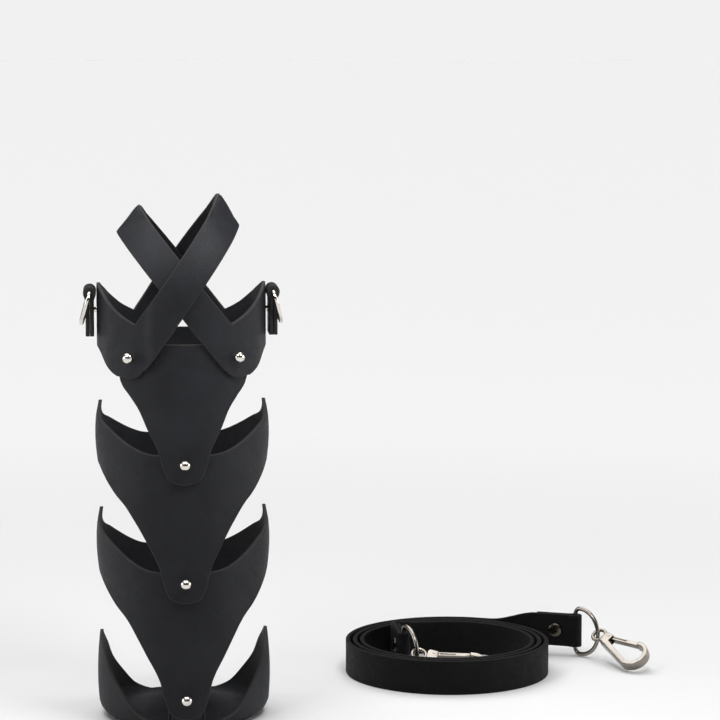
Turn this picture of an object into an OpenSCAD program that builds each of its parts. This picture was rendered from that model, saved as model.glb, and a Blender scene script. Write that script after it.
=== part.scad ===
// Leather bottle carrier: three hoops and a base sling chained by tabs and ball studs,
// two collar pieces whose neck straps cross, and a coiled shoulder strap with snap hooks.
// Millimetres, +Z up. The origin is on the floor under the middle of the carrier,
// and the front looks along -Y. Azimuths are measured from the front towards +X.

/* [Bottle that it holds] */
// Radius of the bottle's body
bottle_r = 38; // [36:0.5:40]
// Radius of the bottle's neck
neck_r = 16; // [14:0.5:18]
// Height at which the bottle's shoulder starts
shoulder_z = 205.4; // [202.4:0.2:207.4]
// Radius of the shoulder's outward turn
shoulder_r = 42.5; // [40:0.5:45]
// Radius of the hollow turn from shoulder to neck
neck_turn_r = 24; // [21:0.5:27]

/* [Leather] */
// Thickness of the carrier's leather
hide_t = 1.7; // [1.4:0.1:2]
// Slack between the bottle and the leather
bottle_slack = 0.5; // [0.3:0.1:0.8]
// Gap between two layers that lie on each other
layer_gap = 0.15; // [0.1:0.05:0.3]
// How far the pointed tips lean in towards the bottle
tip_lean = 0.4; // [0:0.1:0.5]

/* [Hoops] */
// Height of the upper hoop's side tips
upper_tip_z = 153; // [149.5:0.5:156.5]
// Depth of the upper hoop's top edge below its tips
upper_dip = 21.6; // [19:0.2:24]
// Height of the upper hoop from its tips to the end of its tab
upper_h = 91.4; // [89:0.2:94]
// Height of the lower hoop's side tips
lower_tip_z = 101.4; // [99.4:0.2:103.4]
// Depth of the lower hoop's top edge below its tips
lower_dip = 25.4; // [23:0.2:28]
// Height of the lower hoop from its tips to the end of its tab
lower_h = 95.2; // [93:0.2:96]

/* [Base sling] */
// Height of the sling's side tips
sling_tip_z = 41.5; // [39.5:0.5:44.5]
// Height of the front and back tongues
tongue_z = 26.8; // [24.4:0.4:28.4]
// Outer radius of the turn from the base up the sides
heel_r = 8; // [7.5:0.25:9]

/* [Bib] */
// Height of the bib's top edge
bib_top_z = 183.4; // [181.4:0.2:185.4]
// Height of the bib from its top edge to the end of its tab
bib_h = 65.8; // [64:0.2:68]

/* [Collar and neck straps] */
// Height of the collar's side tips
collar_tip_z = 209; // [206.5:0.5:210.5]
// Height of the collar's lower edge at the sides
collar_low_z = 179; // [177.5:0.5:180.5]
// Height of the notch between collar band and neck strap
notch_z = 192.4; // [191:0.2:193.4]
// Azimuth of the notch
notch_az = 32.7; // [32:0.1:34]
// Azimuth of the collar studs
collar_stud_az = 35; // [34.6:0.1:36.2]
// Height of the collar studs
collar_stud_z = 177; // [176:0.1:177.8]
// Leather left below a collar stud
collar_end_r = 11.2; // [10.6:0.1:11.6]
// Slope of the left collar's neck strap in the front view
left_slope_share = 1.42; // [1.39:0.01:1.46]
// Slope of the right collar's neck strap in the front view
right_slope_share = 1.26; // [1.23:0.01:1.3]
// Height at which the left collar's strap crosses the middle with its lower edge
left_cross_z = 196.5; // [195.6:0.1:197.4]
// Height at which the right collar's strap crosses the middle with its lower edge
right_cross_z = 194.6; // [193.8:0.1:195.4]
// Width of a neck strap
neck_strap_w = 16.3; // [15.6:0.1:16.8]

/* [Ball studs] */
// Diameter of a stud's ball
ball_d = 5.2; // [4.6:0.1:5.6]
// Diameter of a stud's post
post_d = 3; // [2.6:0.1:3.4]
// Neck left showing between leather and ball
neck_gap = 0.5; // [0.3:0.1:1]
// Diameter of the screw's flat head
screw_head_d = 7; // [6:0.2:8]
// Thickness of the screw's flat head
screw_head_t = 0.9; // [0.7:0.1:1.2]
// Diameter of the screw's shank
screw_d = 1.7; // [1.4:0.1:1.8]
// Clearance of posts in leather and shanks in posts
stud_fit = 0.05; // [0.03:0.01:0.1]
// Height of the leather end below a tab's stud
tab_stud_rise = 10; // [9.4:0.2:10.4]

/* [Rings and their tabs] */
// Diameter of the ring's wire
wire_d = 2.2; // [2:0.1:2.5]
// Half the straight bar of a ring
bar_half = 8.7; // [8.6:0.1:9.2]
// Radius of a ring's corners
ring_corner_r = 3.4; // [3:0.1:3.8]
// Running clearance of a ring's bar in its fold
ring_fit = 0.08; // [0.04:0.01:0.1]
// Width of the ring tabs and the shoulder strap
strap_w = 17; // [16.6:0.1:17]
// Thickness of the ring tabs' leather
tab_t = 1.9; // [1.6:0.1:2]
// Height of the ring bars on the collar
ring_z = 204.8; // [203.6:0.2:205.6]
// Height of the ring tabs' lower end
ring_tab_low_z = 184.2; // [183.6:0.2:185.6]
// Height of the rivets through the ring tabs
tab_rivet_z = 196.1; // [194.6:0.1:197.1]
// Tilt of the hanging rings away from their tabs
ring_hang = 15; // [14.5:0.5:17]

/* [Rivets] */
// Diameter of a rivet's cap
cap_d = 7.2; // [6.6:0.1:7.8]
// Height of a rivet's domed cap
cap_h = 1.3; // [1:0.1:1.6]
// Diameter of a rivet's post
rivet_d = 2.6; // [2.2:0.1:3]

/* [Shoulder strap] */
// Thickness of the shoulder strap
strap_t = 2.2; // [2:0.1:2.4]
// Centre of the coil, to the right of the carrier
coil_x = 138; // [133:1:148]
// Centre of the coil, behind the carrier's middle
coil_y = 72; // [68:1:80]
// Radius of the coil's outermost turn
coil_r = 53; // [52:0.5:55]
// Distance between two turns
coil_pitch = 3.6; // [3.2:0.1:3.8]
// Azimuth swept by the turns
coil_sweep = 1113; // [1110:1:1116]
// Angle at which the outer end leaves the coil
coil_exit = 67; // [65:1:69]
// Length of the outer end up to its fold
tail_l = 33; // [31:0.5:36]
// Height that both folded ends are lifted by the rings
end_lift = 5; // [4.8:0.1:5.4]
// Length of a folded end
fold_l = 21; // [20:0.5:22]
// Distance of the rivet from the fold's bar
fold_rivet_l = 10.5; // [10:0.1:11]
// Radius of the inner end's turn
inner_turn_r = 24; // [23:0.5:25]
// Angle of the inner end's turn
inner_turn = 85; // [83:1:87]

/* [Snap hooks] */
// Distance from a hook's eye to the middle of its bowl
hook_l = 28; // [27:0.5:29]
// Radius of the bowl's outside
bowl_r = 8; // [7.6:0.1:8.4]
// Thickness of the hook's body
hook_t = 2.3; // [2:0.1:2.5]
// Width of the hook's body
hook_w = 5; // [4.6:0.1:5.4]
// Radius of the eye's centre line
eye_r = 3.5; // [3.4:0.05:3.6]
// Diameter of the eye's round section
eye_d = 1.9; // [1.8:0.05:1.9]
// Width of the gate
gate_w = 3; // [2.8:0.1:3.2]
// Diameter of the gate's pin
pin_d = 1.6; // [1.4:0.1:1.7]
// Clearance round the gate
gate_gap = 0.12; // [0.1:0.01:0.15]
// Gap between a hook's eye and the ring that it hangs on
eye_gap = 0.35; // [0.3:0.05:0.4]
// Diameter of the gate spring's wire
spring_d = 0.45; // [0.4:0.05:0.45]

/* [Lie of the end rings and hooks] */
// Heading of the outer ring
outer_ring_heading = -50; // [-55:1:-45]
// Heading of the outer hook
outer_hook_heading = -60; // [-65:1:-55]
// Heading of the inner ring
inner_ring_heading = -70; // [-75:1:-65]
// Heading of the inner hook
inner_hook_heading = -12; // [-15:1:-5]
// Roll of the hooks, with their gates up
hook_roll = 35; // [30:1:38]
// Pitch of the hooks, from the ring down to the floor
hook_pitch = 12; // [10:0.5:13]

/* [Hidden] */
$fn = 48;
over = 1;
leather = [0.14, 0.14, 0.15];
strap_leather = [0.1, 0.1, 0.11];
nickel = [0.8, 0.79, 0.76];
dull_nickel = [0.5, 0.48, 0.43];
steel = [0.6, 0.61, 0.63];

layer = hide_t + layer_gap;
half_turn = 180;
side_az = 90;

// Table lookup along a smooth curve through the table's points
function span(table, x, i = 0) = i >= len(table) - 2 || x < table[i + 1][0] ? i : span(table, x, i + 1);
function tangent(table, i) =
    let (a = table[max(i - 1, 0)], b = table[min(i + 1, len(table) - 1)])
    i == 0 ? 0 : (b[1] - a[1]) / (b[0] - a[0]);
function smooth(table, x) =
    let (i = span(table, x), a = table[i], b = table[i + 1], w = b[0] - a[0],
        t = min(1, max(0, (x - a[0]) / w)), d = b[1] - a[1],
        m0 = tangent(table, i) * w, m1 = tangent(table, i + 1) * w)
    a[1] + t * (m0 + t * (3 * d - 2 * m0 - m1 + t * (m0 + m1 - 2 * d)));
function ease(t) = let (s = min(1, max(0, t))) s * s * (3 - 2 * s);

// The bottle's wall: its radius and slope at a height, and a point lifted off it
wall_turn = acos(1 - (bottle_r - neck_r) / (shoulder_r + neck_turn_r));
wall_mid_z = shoulder_z + shoulder_r * sin(wall_turn);
neck_z = wall_mid_z + neck_turn_r * sin(wall_turn);
function wall_slope(z) =
    z < shoulder_z ? 0
    : z < wall_mid_z ? asin((z - shoulder_z) / shoulder_r)
    : z < neck_z ? asin((neck_z - z) / neck_turn_r)
    : 0;
function wall_r(z) =
    z < wall_mid_z ? bottle_r - shoulder_r * (1 - cos(wall_slope(z)))
    : neck_r + neck_turn_r * (1 - cos(wall_slope(z)));
function on_wall(az, z, lift) =
    let (f = wall_slope(z), r = wall_r(z) + lift * cos(f))
    [r * sin(az), -r * cos(az), z + lift * sin(f)];

// A closed ring of points round one column of leather: inside face up, outside face down
function section(col, t) = concat(
    [for (p = col) on_wall(p[0], p[1], p[2])],
    [for (i = [len(col) - 1:-1:0]) on_wall(col[i][0], col[i][1], col[i][2] + t)]);

module loft(rings, closed) {
    n = len(rings[0]);
    m = len(rings);
    half = n / 2;
    sides = [for (i = [0:m - (closed ? 1 : 2)]) for (j = [0:n - 1])
        let (a = i * n + j, b = i * n + (j + 1) % n,
            c = ((i + 1) % m) * n + (j + 1) % n, d = ((i + 1) % m) * n + j)
        each [[a, b, c], [a, c, d]]];
    ends = closed ? [] : [for (k = [0:half - 2])
        let (p = k, q = k + 1, r = n - 2 - k, s = n - 1 - k, e = (m - 1) * n)
        each [[p, r, q], [p, s, r], [e + p, e + q, e + r], [e + p, e + r, e + s]]];
    polyhedron(points = [for (r = rings) each r], faces = concat(sides, ends), convexity = 6);
}

// Azimuths of the columns of a whole turn, closer together at the tabs
quarter_az = [0, 3, 6, 9, 11.5, 13.5, 15, 16.5, 18.5, 22, 28, 35, 43, 52, 61, 70, 78, 85];
turn_az = concat(
    quarter_az, [side_az],
    [for (i = [len(quarter_az) - 1:-1:0]) half_turn - quarter_az[i]],
    [for (i = [1:len(quarter_az) - 1]) half_turn + quarter_az[i]], [half_turn + side_az],
    [for (i = [len(quarter_az) - 1:-1:1]) 2 * half_turn - quarter_az[i]]);
function from_tab(az) = let (a = abs(az) % half_turn) a > side_az ? half_turn - a : a;

// Studs: azimuth, height and number of leather layers that each one holds
collar_studs = [for (a = [-1, 1]) for (b = [0, half_turn]) [b + a * collar_stud_az, collar_stud_z]];
tab_studs = [for (b = [0, half_turn]) for (z = [bib_top_z - bib_h, upper_tip_z - upper_h,
    lower_tip_z - lower_h]) [b, z + tab_stud_rise]];
studs = concat(collar_studs, tab_studs);
inner_r = bottle_r + bottle_slack;
stacked_r = inner_r + hide_t + layer;

module stud_holes() {
    for (s = studs)
        rotate([0, 0, s[0]])
            translate([0, -bottle_r + over, s[1]])
                rotate([side_az, 0, 0])
                    cylinder(d = post_d + 2 * stud_fit, h = 2 * layer + 3 * over);
}

// Outlines: azimuth against the share of the drop from the tips
hoop_top_shares = [[0, 1], [17.5, 1], [27, 0.966], [34, 0.902], [43.3, 0.781], [55.5, 0.6],
    [62.4, 0.501], [73.4, 0.371], [82.4, 0.18], [90, 0]];
hoop_low_shares = [[0, 1], [4.8, 0.996], [9.9, 0.978], [13, 0.932], [15.1, 0.876], [16.4, 0.834],
    [17.9, 0.8], [21, 0.752], [28, 0.668], [35, 0.596], [44, 0.515], [53.6, 0.462], [64.5, 0.402],
    [73, 0.362], [81, 0.337], [90, 0.333]];

// How far a sheet has risen onto the layer below it: 0 above, 1 down at that layer's top edge
rise_start = 14 * hide_t;
rise_l = 11 * hide_t;
lean_l = 5 * hide_t;
function rise(z, top_z) = ease((top_z + rise_start - z) / rise_l);

module hoop(tip_z, dip, h, next_top_z) {
    rows = 5;
    rings = [for (az = turn_az)
        let (a = from_tab(az), top = tip_z - dip * smooth(hoop_top_shares, a),
            low = tip_z - h * smooth(hoop_low_shares, a))
        section([for (k = [0:rows - 1])
            let (z = low + (top - low) * k / (rows - 1))
            [az, z, bottle_slack + layer * rise(z, next_top_z)
                - tip_lean * ease((z - tip_z + lean_l) / lean_l)]], hide_t)];
    difference() {
        loft(rings, true);
        stud_holes();
    }
}

module upper_hoop() {
    color(leather) hoop(upper_tip_z, upper_dip, upper_h, lower_tip_z - lower_dip);
}

module lower_hoop() {
    color(leather) hoop(lower_tip_z, lower_dip, lower_h, tongue_z);
}

// Bib: a shield with a tab; its wings lie under the collar's ends
bib_low_shares = [[0, 1], [4.8, 0.992], [10.5, 0.962], [13.6, 0.897], [16.4, 0.793], [17.8, 0.741],
    [24.6, 0.609], [31.7, 0.474], [38.9, 0.38], [46.4, 0.295], [48.6, 0.228]];
bib_top_shares = [[0, 0], [34, 0.013], [42.8, 0.05], [48.6, 0.127]];
bib_half_az = [0, 3, 6, 9, 11.5, 13.5, 15, 16.5, 18.5, 22, 27, 33, 38, 43, 46.5, 48.6];

module bib() {
    rows = 5;
    az_list = concat([for (i = [len(bib_half_az) - 1:-1:1]) -bib_half_az[i]], bib_half_az);
    rings = [for (az = az_list)
        let (top = bib_top_z - bib_h * smooth(bib_top_shares, abs(az)),
            low = bib_top_z - bib_h * smooth(bib_low_shares, abs(az)))
        section([for (k = [0:rows - 1])
            let (z = low + (top - low) * k / (rows - 1))
            [az, z, bottle_slack + layer * rise(z, upper_tip_z - upper_dip)]], hide_t)];
    difference() {
        loft(rings, false);
        stud_holes();
    }
}

module front_bib() {
    color(leather) bib();
}

module back_bib() {
    color(leather) rotate([0, 0, half_turn]) bib();
}

// Base sling: a round base whose sides turn up into two wings and two tongues
flat_r = inner_r + hide_t - heel_r;
heel_l = heel_r * PI / 2;
wing_l = flat_r + heel_l + sling_tip_z - heel_r;
tongue_l = flat_r + heel_l + tongue_z - heel_r;
sling_shares = [[23, 0.5], [29, 0.52], [38, 0.575], [49, 0.669], [61, 0.78], [69.5, 0.888],
    [80, 0.958], [90, 1]];
tongue_az = 11.5;
tongue_edge_az = 4;
function sling_edge(a) =
    let (tongue = tongue_l * (1 - ease((a - tongue_az) / tongue_edge_az)), wing = wing_l * smooth(sling_shares, a))
    max(tongue, wing, flat_r);
function sling_at(az, s, depth) =
    let (turn = min(side_az, max(0, (s - flat_r) / heel_r * half_turn / PI)),
        r = min(s, flat_r) + (heel_r - depth) * sin(turn),
        z = heel_r - (heel_r - depth) * cos(turn) + max(0, s - flat_r - heel_l))
    [r * sin(az), -r * cos(az), z];

module base_sling() {
    stations = [0.2 * flat_r, flat_r, flat_r + heel_l / 4, flat_r + heel_l / 2,
        flat_r + 3 * heel_l / 4, flat_r + heel_l, wing_l];
    row_shares = [0.12, 0.78, 0.83, 0.88, 0.93, 0.97, 1];
    rows = len(stations);
    count = len(turn_az);
    rings = [for (az = turn_az)
        let (edge = sling_edge(from_tab(az)),
            at = [for (k = [0:rows - 1]) k == rows - 1 ? edge : min(stations[k], edge * row_shares[k])])
        concat([for (k = [0:rows - 1]) sling_at(az, at[k], hide_t)],
            [for (k = [rows - 1:-1:0]) sling_at(az, at[k], 0)])];
    n = 2 * rows;
    sides = [for (i = [0:count - 1]) for (j = [0:n - 2])
        let (a = i * n + j, b = a + 1, c = ((i + 1) % count) * n + j + 1, d = c - 1)
        each [[a, b, c], [a, c, d]]];
    color(leather)
        difference() {
            polyhedron(points = [for (r = rings) each r],
                faces = concat(sides, [[for (i = [0:count - 1]) i * n]],
                    [[for (i = [count - 1:-1:0]) i * n + n - 1]]), convexity = 6);
            stud_holes();
        }
}

// Collar: the band from the side to the stud, and the neck strap from there over the
// other shoulder. A column runs from the upper edge to the lower edge, [azimuth, height] each.
collar_band_h = collar_tip_z - notch_z;
collar_drop = collar_low_z - collar_stud_z + collar_end_r;
band_top_shares = [[0, 1], [10, 0.92], [20, 0.78], [28, 0.645], [35, 0.51], [45.5, 0.24], [57.3, 0]];
band_low_shares = [[0, 1], [9.6, 0.955], [15.6, 0.84], [23.6, 0.588], [33.5, 0.284], [43.4, 0.042],
    [53.1, 0]];
early_share = 0.35;

// Azimuth at which a neck strap's edge line reaches a height, found from the front view
edge_low_z = collar_stud_z - collar_end_r;
edge_high_z = neck_z + 2 * collar_band_h;
function edge_z(az, z0, slope_share, lift, low = edge_low_z, high = edge_high_z, n = 24) =
    let (z = (low + high) / 2, p = on_wall(az, z, lift), line = z0 + slope_share * p[0])
    n == 0 ? z
    : line > p[2] ? edge_z(az, z0, slope_share, lift, z, high, n - 1)
    : edge_z(az, z0, slope_share, lift, low, z, n - 1);

// Lift of a collar: on the bottle at the sides, on the bib at the front, and on the other
// collar's strap where the two cross
onto_bib_az = [-73, 22];
onto_strap_az = [-27, 9];
off_bib_az = [18, 50];
crossing_lift = layer + layer_gap;
function onto(az, start_and_width) = ease((az - start_and_width[0]) / start_and_width[1]);
function collar_lift(az, cross_layers) =
    az < onto_strap_az[0] ? bottle_slack + layer * onto(az, onto_bib_az)
    : az < 0 ? bottle_slack + layer + crossing_lift * cross_layers * onto(az, onto_strap_az)
    : bottle_slack + (layer + crossing_lift * cross_layers) * (1 - onto(az, off_bib_az));

function collar_half(cross_layers, cross_z, slope_share) =
    let (band_n = 9, fan_n = 8, strap_n = 20, fan_from = -115, past_stud_az = 13,
        low_to_az = collar_stud_az + past_stud_az,
        foot = collar_stud_z - collar_end_r,
        run = norm([1, slope_share]),
        high_z = cross_z + neck_strap_w * run,
        edge_r = (collar_stud_z - cross_z + slope_share * stacked_r * sin(collar_stud_az)) / run,
        fan_to = atan(slope_share) - side_az,
        to_az = half_turn / PI / stacked_r)
    concat(
        [for (i = [0:band_n]) let (t = i / band_n,
            a = -side_az + (side_az - notch_az) * t, b = -side_az + (side_az - low_to_az) * t)
            [[a, i == band_n ? notch_z : notch_z + collar_band_h * smooth(band_top_shares, a + side_az)],
             [b, foot + collar_drop * smooth(band_low_shares, b + side_az)]]],
        [for (i = [1:fan_n]) let (t = i / fan_n, turn = fan_from + (fan_to - fan_from) * t,
            r = collar_end_r + (edge_r - collar_end_r) * ease((turn + side_az) / (fan_to + side_az)))
            [[-notch_az, notch_z],
             [-collar_stud_az + r * cos(turn) * to_az, collar_stud_z + r * sin(turn)]]],
        [for (i = [1:strap_n]) let (t = i / strap_n, s = t * (1 + early_share * (1 - t)),
            a = -notch_az + (side_az + notch_az) * s,
            b_start = -collar_stud_az + edge_r * cos(fan_to) * to_az,
            b = b_start + (side_az - b_start) * s)
            [[a, edge_z(a, high_z, slope_share, collar_lift(a, cross_layers) + hide_t)],
             [b, edge_z(b, cross_z, slope_share, collar_lift(b, cross_layers) + hide_t)]]]);

// Leather spans the hollow between shoulder and neck: how far a straight line between a
// column's two edges stands off the wall
function bridge(top, low, k) =
    let (z = top[1] + (low[1] - top[1]) * k)
    max(0, wall_r(top[1]) + (wall_r(low[1]) - wall_r(top[1])) * k - wall_r(z)) * cos(wall_slope(z));

module collar(cross_layers, cross_z, slope_share) {
    rows = 7;
    half = collar_half(cross_layers, cross_z, slope_share);
    front = [for (c = half) section([for (i = [rows - 1:-1:0])
        let (k = i / (rows - 1), p = c[0] + (c[1] - c[0]) * k)
        [p[0], p[1], collar_lift(p[0], cross_layers) + bridge(c[0], c[1], k)]], hide_t)];
    back = [for (i = [len(front) - 2:-1:1]) [for (p = front[i]) [p[0], -p[1], p[2]]]];
    difference() {
        loft(concat(front, back), true);
        stud_holes();
        mirror([1, 0, 0]) tab_rivet_hole();
    }
}

module left_collar() {
    color(leather) collar(1, left_cross_z, left_slope_share);
}

module right_collar() {
    color(leather) mirror([1, 0, 0]) collar(0, right_cross_z, right_slope_share);
}

// Ball studs, and the flat-headed screws that close them from inside
screw_seat_r = sqrt(pow(inner_r, 2) - pow(screw_head_d / 2, 2)) - layer_gap;

module at_studs() {
    for (s = studs)
        rotate([0, 0, s[0]])
            translate([0, 0, s[1]])
                rotate([side_az, 0, 0])
                    children();
}

module ball_studs() {
    bore_l = 0.7 * (stacked_r - screw_seat_r);
    color(nickel)
        at_studs()
            difference() {
                union() {
                    translate([0, 0, screw_seat_r])
                        cylinder(d = post_d, h = stacked_r + neck_gap + ball_d / 2 - screw_seat_r);
                    translate([0, 0, stacked_r + neck_gap + ball_d / 2 - layer_gap])
                        sphere(d = ball_d);
                }
                translate([0, 0, screw_seat_r - over])
                    cylinder(d = screw_d + 2 * stud_fit, h = bore_l + over);
            }
}

module stud_screws() {
    shank_l = 0.6 * (stacked_r - screw_seat_r);
    slot_w = screw_head_d / 9;
    color(steel)
        at_studs()
            difference() {
                union() {
                    translate([0, 0, screw_seat_r - screw_head_t])
                        cylinder(d = screw_head_d, h = screw_head_t);
                    translate([0, 0, screw_seat_r - screw_head_t])
                        cylinder(d = screw_d, h = screw_head_t + shank_l);
                }
                translate([-screw_head_d, -slot_w / 2, screw_seat_r - screw_head_t - over])
                    cube([2 * screw_head_d, slot_w, over + screw_head_t / 2]);
            }
}

// Leather folded round a ring's bar. The bar stands along Z at the origin, and the
// two leaves run towards -X.
module folded_leaf(t, l, w) {
    bar_hole = wire_d / 2 + ring_fit;
    linear_extrude(w, center = true)
        difference() {
            union() {
                circle(r = bar_hole + t);
                translate([-l, -t - layer_gap / 2]) square([l, 2 * t + layer_gap]);
            }
            circle(r = bar_hole);
            translate([-l - over, -layer_gap / 2]) square([l + over, layer_gap]);
        }
}

// Ring tabs at the collar's sides
ring_x = inner_r + hide_t + layer_gap + wire_d / 2 + ring_fit + tab_t;

module side_tab() {
    difference() {
        translate([ring_x, 0, ring_z])
            rotate([0, -side_az, 0])
                rotate([side_az, 0, 0])
                    folded_leaf(tab_t, ring_z - ring_tab_low_z, strap_w);
        tab_rivet_hole();
    }
}

module tab_rivet_hole() {
    translate([bottle_r, 0, tab_rivet_z])
        rotate([0, side_az, 0])
            cylinder(d = rivet_d + 2 * stud_fit, h = ring_x);
}

module right_ring_tab() {
    color(leather) side_tab();
}

module left_ring_tab() {
    color(leather) mirror([1, 0, 0]) side_tab();
}

// D-shaped ring: its bar stands along Z at the origin, and its bow reaches towards +X
ring_reach = 2 * ring_corner_r + bar_half;

module d_ring() {
    bow_r = bar_half + ring_corner_r;
    cylinder(d = wire_d, h = 2 * bar_half, center = true);
    rotate([side_az, 0, 0]) {
        translate([ring_corner_r, bar_half])
            rotate([0, 0, side_az])
                rotate_extrude(angle = side_az) translate([ring_corner_r, 0]) circle(d = wire_d);
        translate([ring_corner_r, -bar_half])
            rotate([0, 0, half_turn])
                rotate_extrude(angle = side_az) translate([ring_corner_r, 0]) circle(d = wire_d);
        translate([ring_corner_r, 0])
            rotate([0, 0, -side_az])
                rotate_extrude(angle = half_turn) translate([bow_r, 0]) circle(d = wire_d);
    }
}

module side_ring() {
    translate([ring_x, 0, ring_z])
        rotate([0, side_az - ring_hang, 0])
            rotate([side_az, 0, 0])
                d_ring();
}

module right_carry_ring() {
    color(nickel) side_ring();
}

module left_carry_ring() {
    color(nickel) mirror([1, 0, 0]) side_ring();
}

// Domed rivet along +Z: from its flat inner head at 0 to the seat of its cap at grip
module rivet(grip) {
    dome_r = (pow(cap_d / 2, 2) + pow(cap_h, 2)) / (2 * cap_h);
    inner_head_t = cap_h / 2;
    translate([0, 0, -inner_head_t]) cylinder(d = cap_d, h = inner_head_t);
    cylinder(d = rivet_d, h = grip);
    translate([0, 0, grip])
        intersection() {
            translate([0, 0, cap_h - dome_r]) sphere(r = dome_r);
            cylinder(d = cap_d, h = cap_h);
        }
}

module tab_rivets() {
    seat_r = sqrt(pow(inner_r, 2) - pow(cap_d / 2, 2)) - layer_gap;
    leaf_face = ring_x + tab_t + layer_gap;
    color(nickel)
        for (side = [0, half_turn])
            rotate([0, 0, side])
                translate([seat_r, 0, tab_rivet_z])
                    rotate([0, side_az, 0])
                        rivet(leaf_face - seat_r);
}

// Shoulder strap: an inner turn, a spiral of turns standing on edge, and an outer tail.
// Both ends are folded round a ring's bar and lifted by the ring.
coil_at = [coil_x, coil_y];
full_turn = 2 * half_turn;
coil_start = coil_exit + coil_sweep;
tail_heading = coil_exit - side_az;
inner_heading = coil_start + inner_turn + side_az;
ramp_l = 5 * end_lift;
step_az = 6;
fold_side = (strap_t + layer_gap) / 2;
function way(heading) = [cos(heading), sin(heading)];
function coil_point(az) =
    coil_at + (coil_r - coil_pitch * (az - coil_exit) / full_turn) * way(az);
inner_turn_at = coil_point(coil_start) - inner_turn_r * way(coil_start);
inner_end = inner_turn_at + inner_turn_r * way(coil_start + inner_turn);
tail_start = coil_point(coil_exit);
tail_end = tail_start + tail_l * way(tail_heading);
function bar_at(end, heading) =
    end + fold_l * way(heading) + fold_side * way(heading + side_az);
inner_bar = bar_at(inner_end, inner_heading);
outer_bar = bar_at(tail_end, tail_heading);

// Centre line of a folded end in its bar's own axes: out on one side of the bar, round it and back
fold_r = wire_d / 2 + ring_fit + strap_t / 2;
bulge_shares = [1, 0.8, 0.6, 0.4, 0.2];
function bulge(share) =
    [-2 * fold_r * share, fold_side + (fold_r - fold_side) * ease(1 - share)];
fold_line = concat(
    [for (b = bulge_shares) let (p = bulge(b)) [p[0], -p[1]]],
    [for (az = [-side_az:20:0]) fold_r * way(az)],
    [for (az = [10:20:side_az]) fold_r * way(az)],
    [for (i = [len(bulge_shares) - 1:-1:0]) bulge(bulge_shares[i])],
    [[-fold_l, fold_side]]);
function fold_at(bar, heading) = [for (p = fold_line)
    concat(bar + p[0] * way(heading) + p[1] * way(heading + side_az), end_lift)];

inner_fold = fold_at(inner_bar, inner_heading);
strap_run = concat(
    [for (i = [len(inner_fold) - 1:-1:0]) inner_fold[i]],
    [for (az = [inner_turn:-step_az:step_az])
        concat(inner_turn_at + inner_turn_r * way(coil_start + az),
            end_lift * ease(az / inner_turn))],
    [for (az = [coil_start:-step_az:coil_exit + step_az / 2]) concat(coil_point(az), 0)],
    [for (l = [0:tail_l / 6:tail_l]) concat(tail_start + l * way(tail_heading),
        end_lift * ease((l - tail_l + ramp_l) / ramp_l))],
    fold_at(outer_bar, tail_heading));

strap_ends = [[outer_bar, tail_heading], [inner_bar, inner_heading]];

function run_way(i) =
    let (a = strap_run[max(i - 1, 0)], b = strap_run[min(i + 1, len(strap_run) - 1)],
        d = [b[0] - a[0], b[1] - a[1]])
    d / norm(d);

module at_end(bar, heading) {
    translate([bar[0], bar[1], end_lift + strap_w / 2])
        rotate([0, 0, heading])
            children();
}

module shoulder_strap() {
    rings = [for (i = [0:len(strap_run) - 1])
        let (p = strap_run[i], d = run_way(i), side = [-d[1], d[0]] * strap_t / 2,
            a = [p[0], p[1]] - side, b = [p[0], p[1]] + side)
        [concat(a, p[2]), concat(a, p[2] + strap_w), concat(b, p[2] + strap_w), concat(b, p[2])]];
    color(strap_leather)
        difference() {
            loft(rings, false);
            for (e = strap_ends)
                at_end(e[0], e[1])
                    translate([-fold_rivet_l, -2 * strap_t, 0])
                        rotate([-side_az, 0, 0])
                            cylinder(d = rivet_d + 2 * stud_fit, h = 4 * strap_t);
        }
}

module strap_rivets() {
    face = strap_t + layer_gap / 2;
    color(dull_nickel)
        for (e = strap_ends)
            at_end(e[0], e[1])
                translate([-fold_rivet_l, face, 0])
                    rotate([side_az, 0, 0])
                        rivet(2 * face);
}

// Rings in the folded ends, and the snap hooks on them
eye_shift = eye_r - eye_d / 2 - wire_d / 2 - eye_gap;

module outer_end_ring() {
    color(nickel) at_end(outer_bar, outer_ring_heading) d_ring();
}

module inner_end_ring() {
    color(nickel) at_end(inner_bar, inner_ring_heading) d_ring();
}

function ring_apex(bar, heading) = bar + ring_reach * way(heading);

module at_hook(bar, ring_heading, hook_heading) {
    eye = ring_apex(bar, ring_heading) + eye_shift * way(hook_heading);
    translate([eye[0], eye[1], end_lift + strap_w / 2])
        rotate([hook_roll, hook_pitch, hook_heading])
            children();
}

module at_outer_hook() {
    at_hook(outer_bar, outer_ring_heading, outer_hook_heading) children();
}

module at_inner_hook() {
    at_hook(inner_bar, inner_ring_heading, inner_hook_heading) children();
}

// Snap hook: its eye is at the origin, its bowl lies along +X and its gate on the +Y side
head_x = eye_r + eye_d / 4;
head_l = 2.4 * hook_t;
head_half = 1.4 * hook_t;
pin_x = head_x + 1.35 * hook_t;
pin_y = 0.7 * hook_t;
knuckle_r = 0.74 * hook_t;
nose_l = 1.2 * hook_t;
gate_t = 0.95 * hook_t;
slot_floor = pin_y - knuckle_r - 2 * gate_gap;
nose_drop = 0.2 * hook_t;
gate_tip_y = bowl_r - nose_drop - hook_t / 2;
gate_l = norm([hook_l - nose_l - pin_x, gate_tip_y - pin_y]) - gate_gap;
gate_rise = atan2(gate_tip_y - pin_y, hook_l - nose_l - pin_x);
spring_r = pin_d / 2 + gate_gap + spring_d / 2;
spring_turns = 3;
spring_pitch = 0.9 * spring_d;
spring_w = (spring_turns - 1) * spring_pitch + spring_d + 2 * gate_gap;

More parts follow.
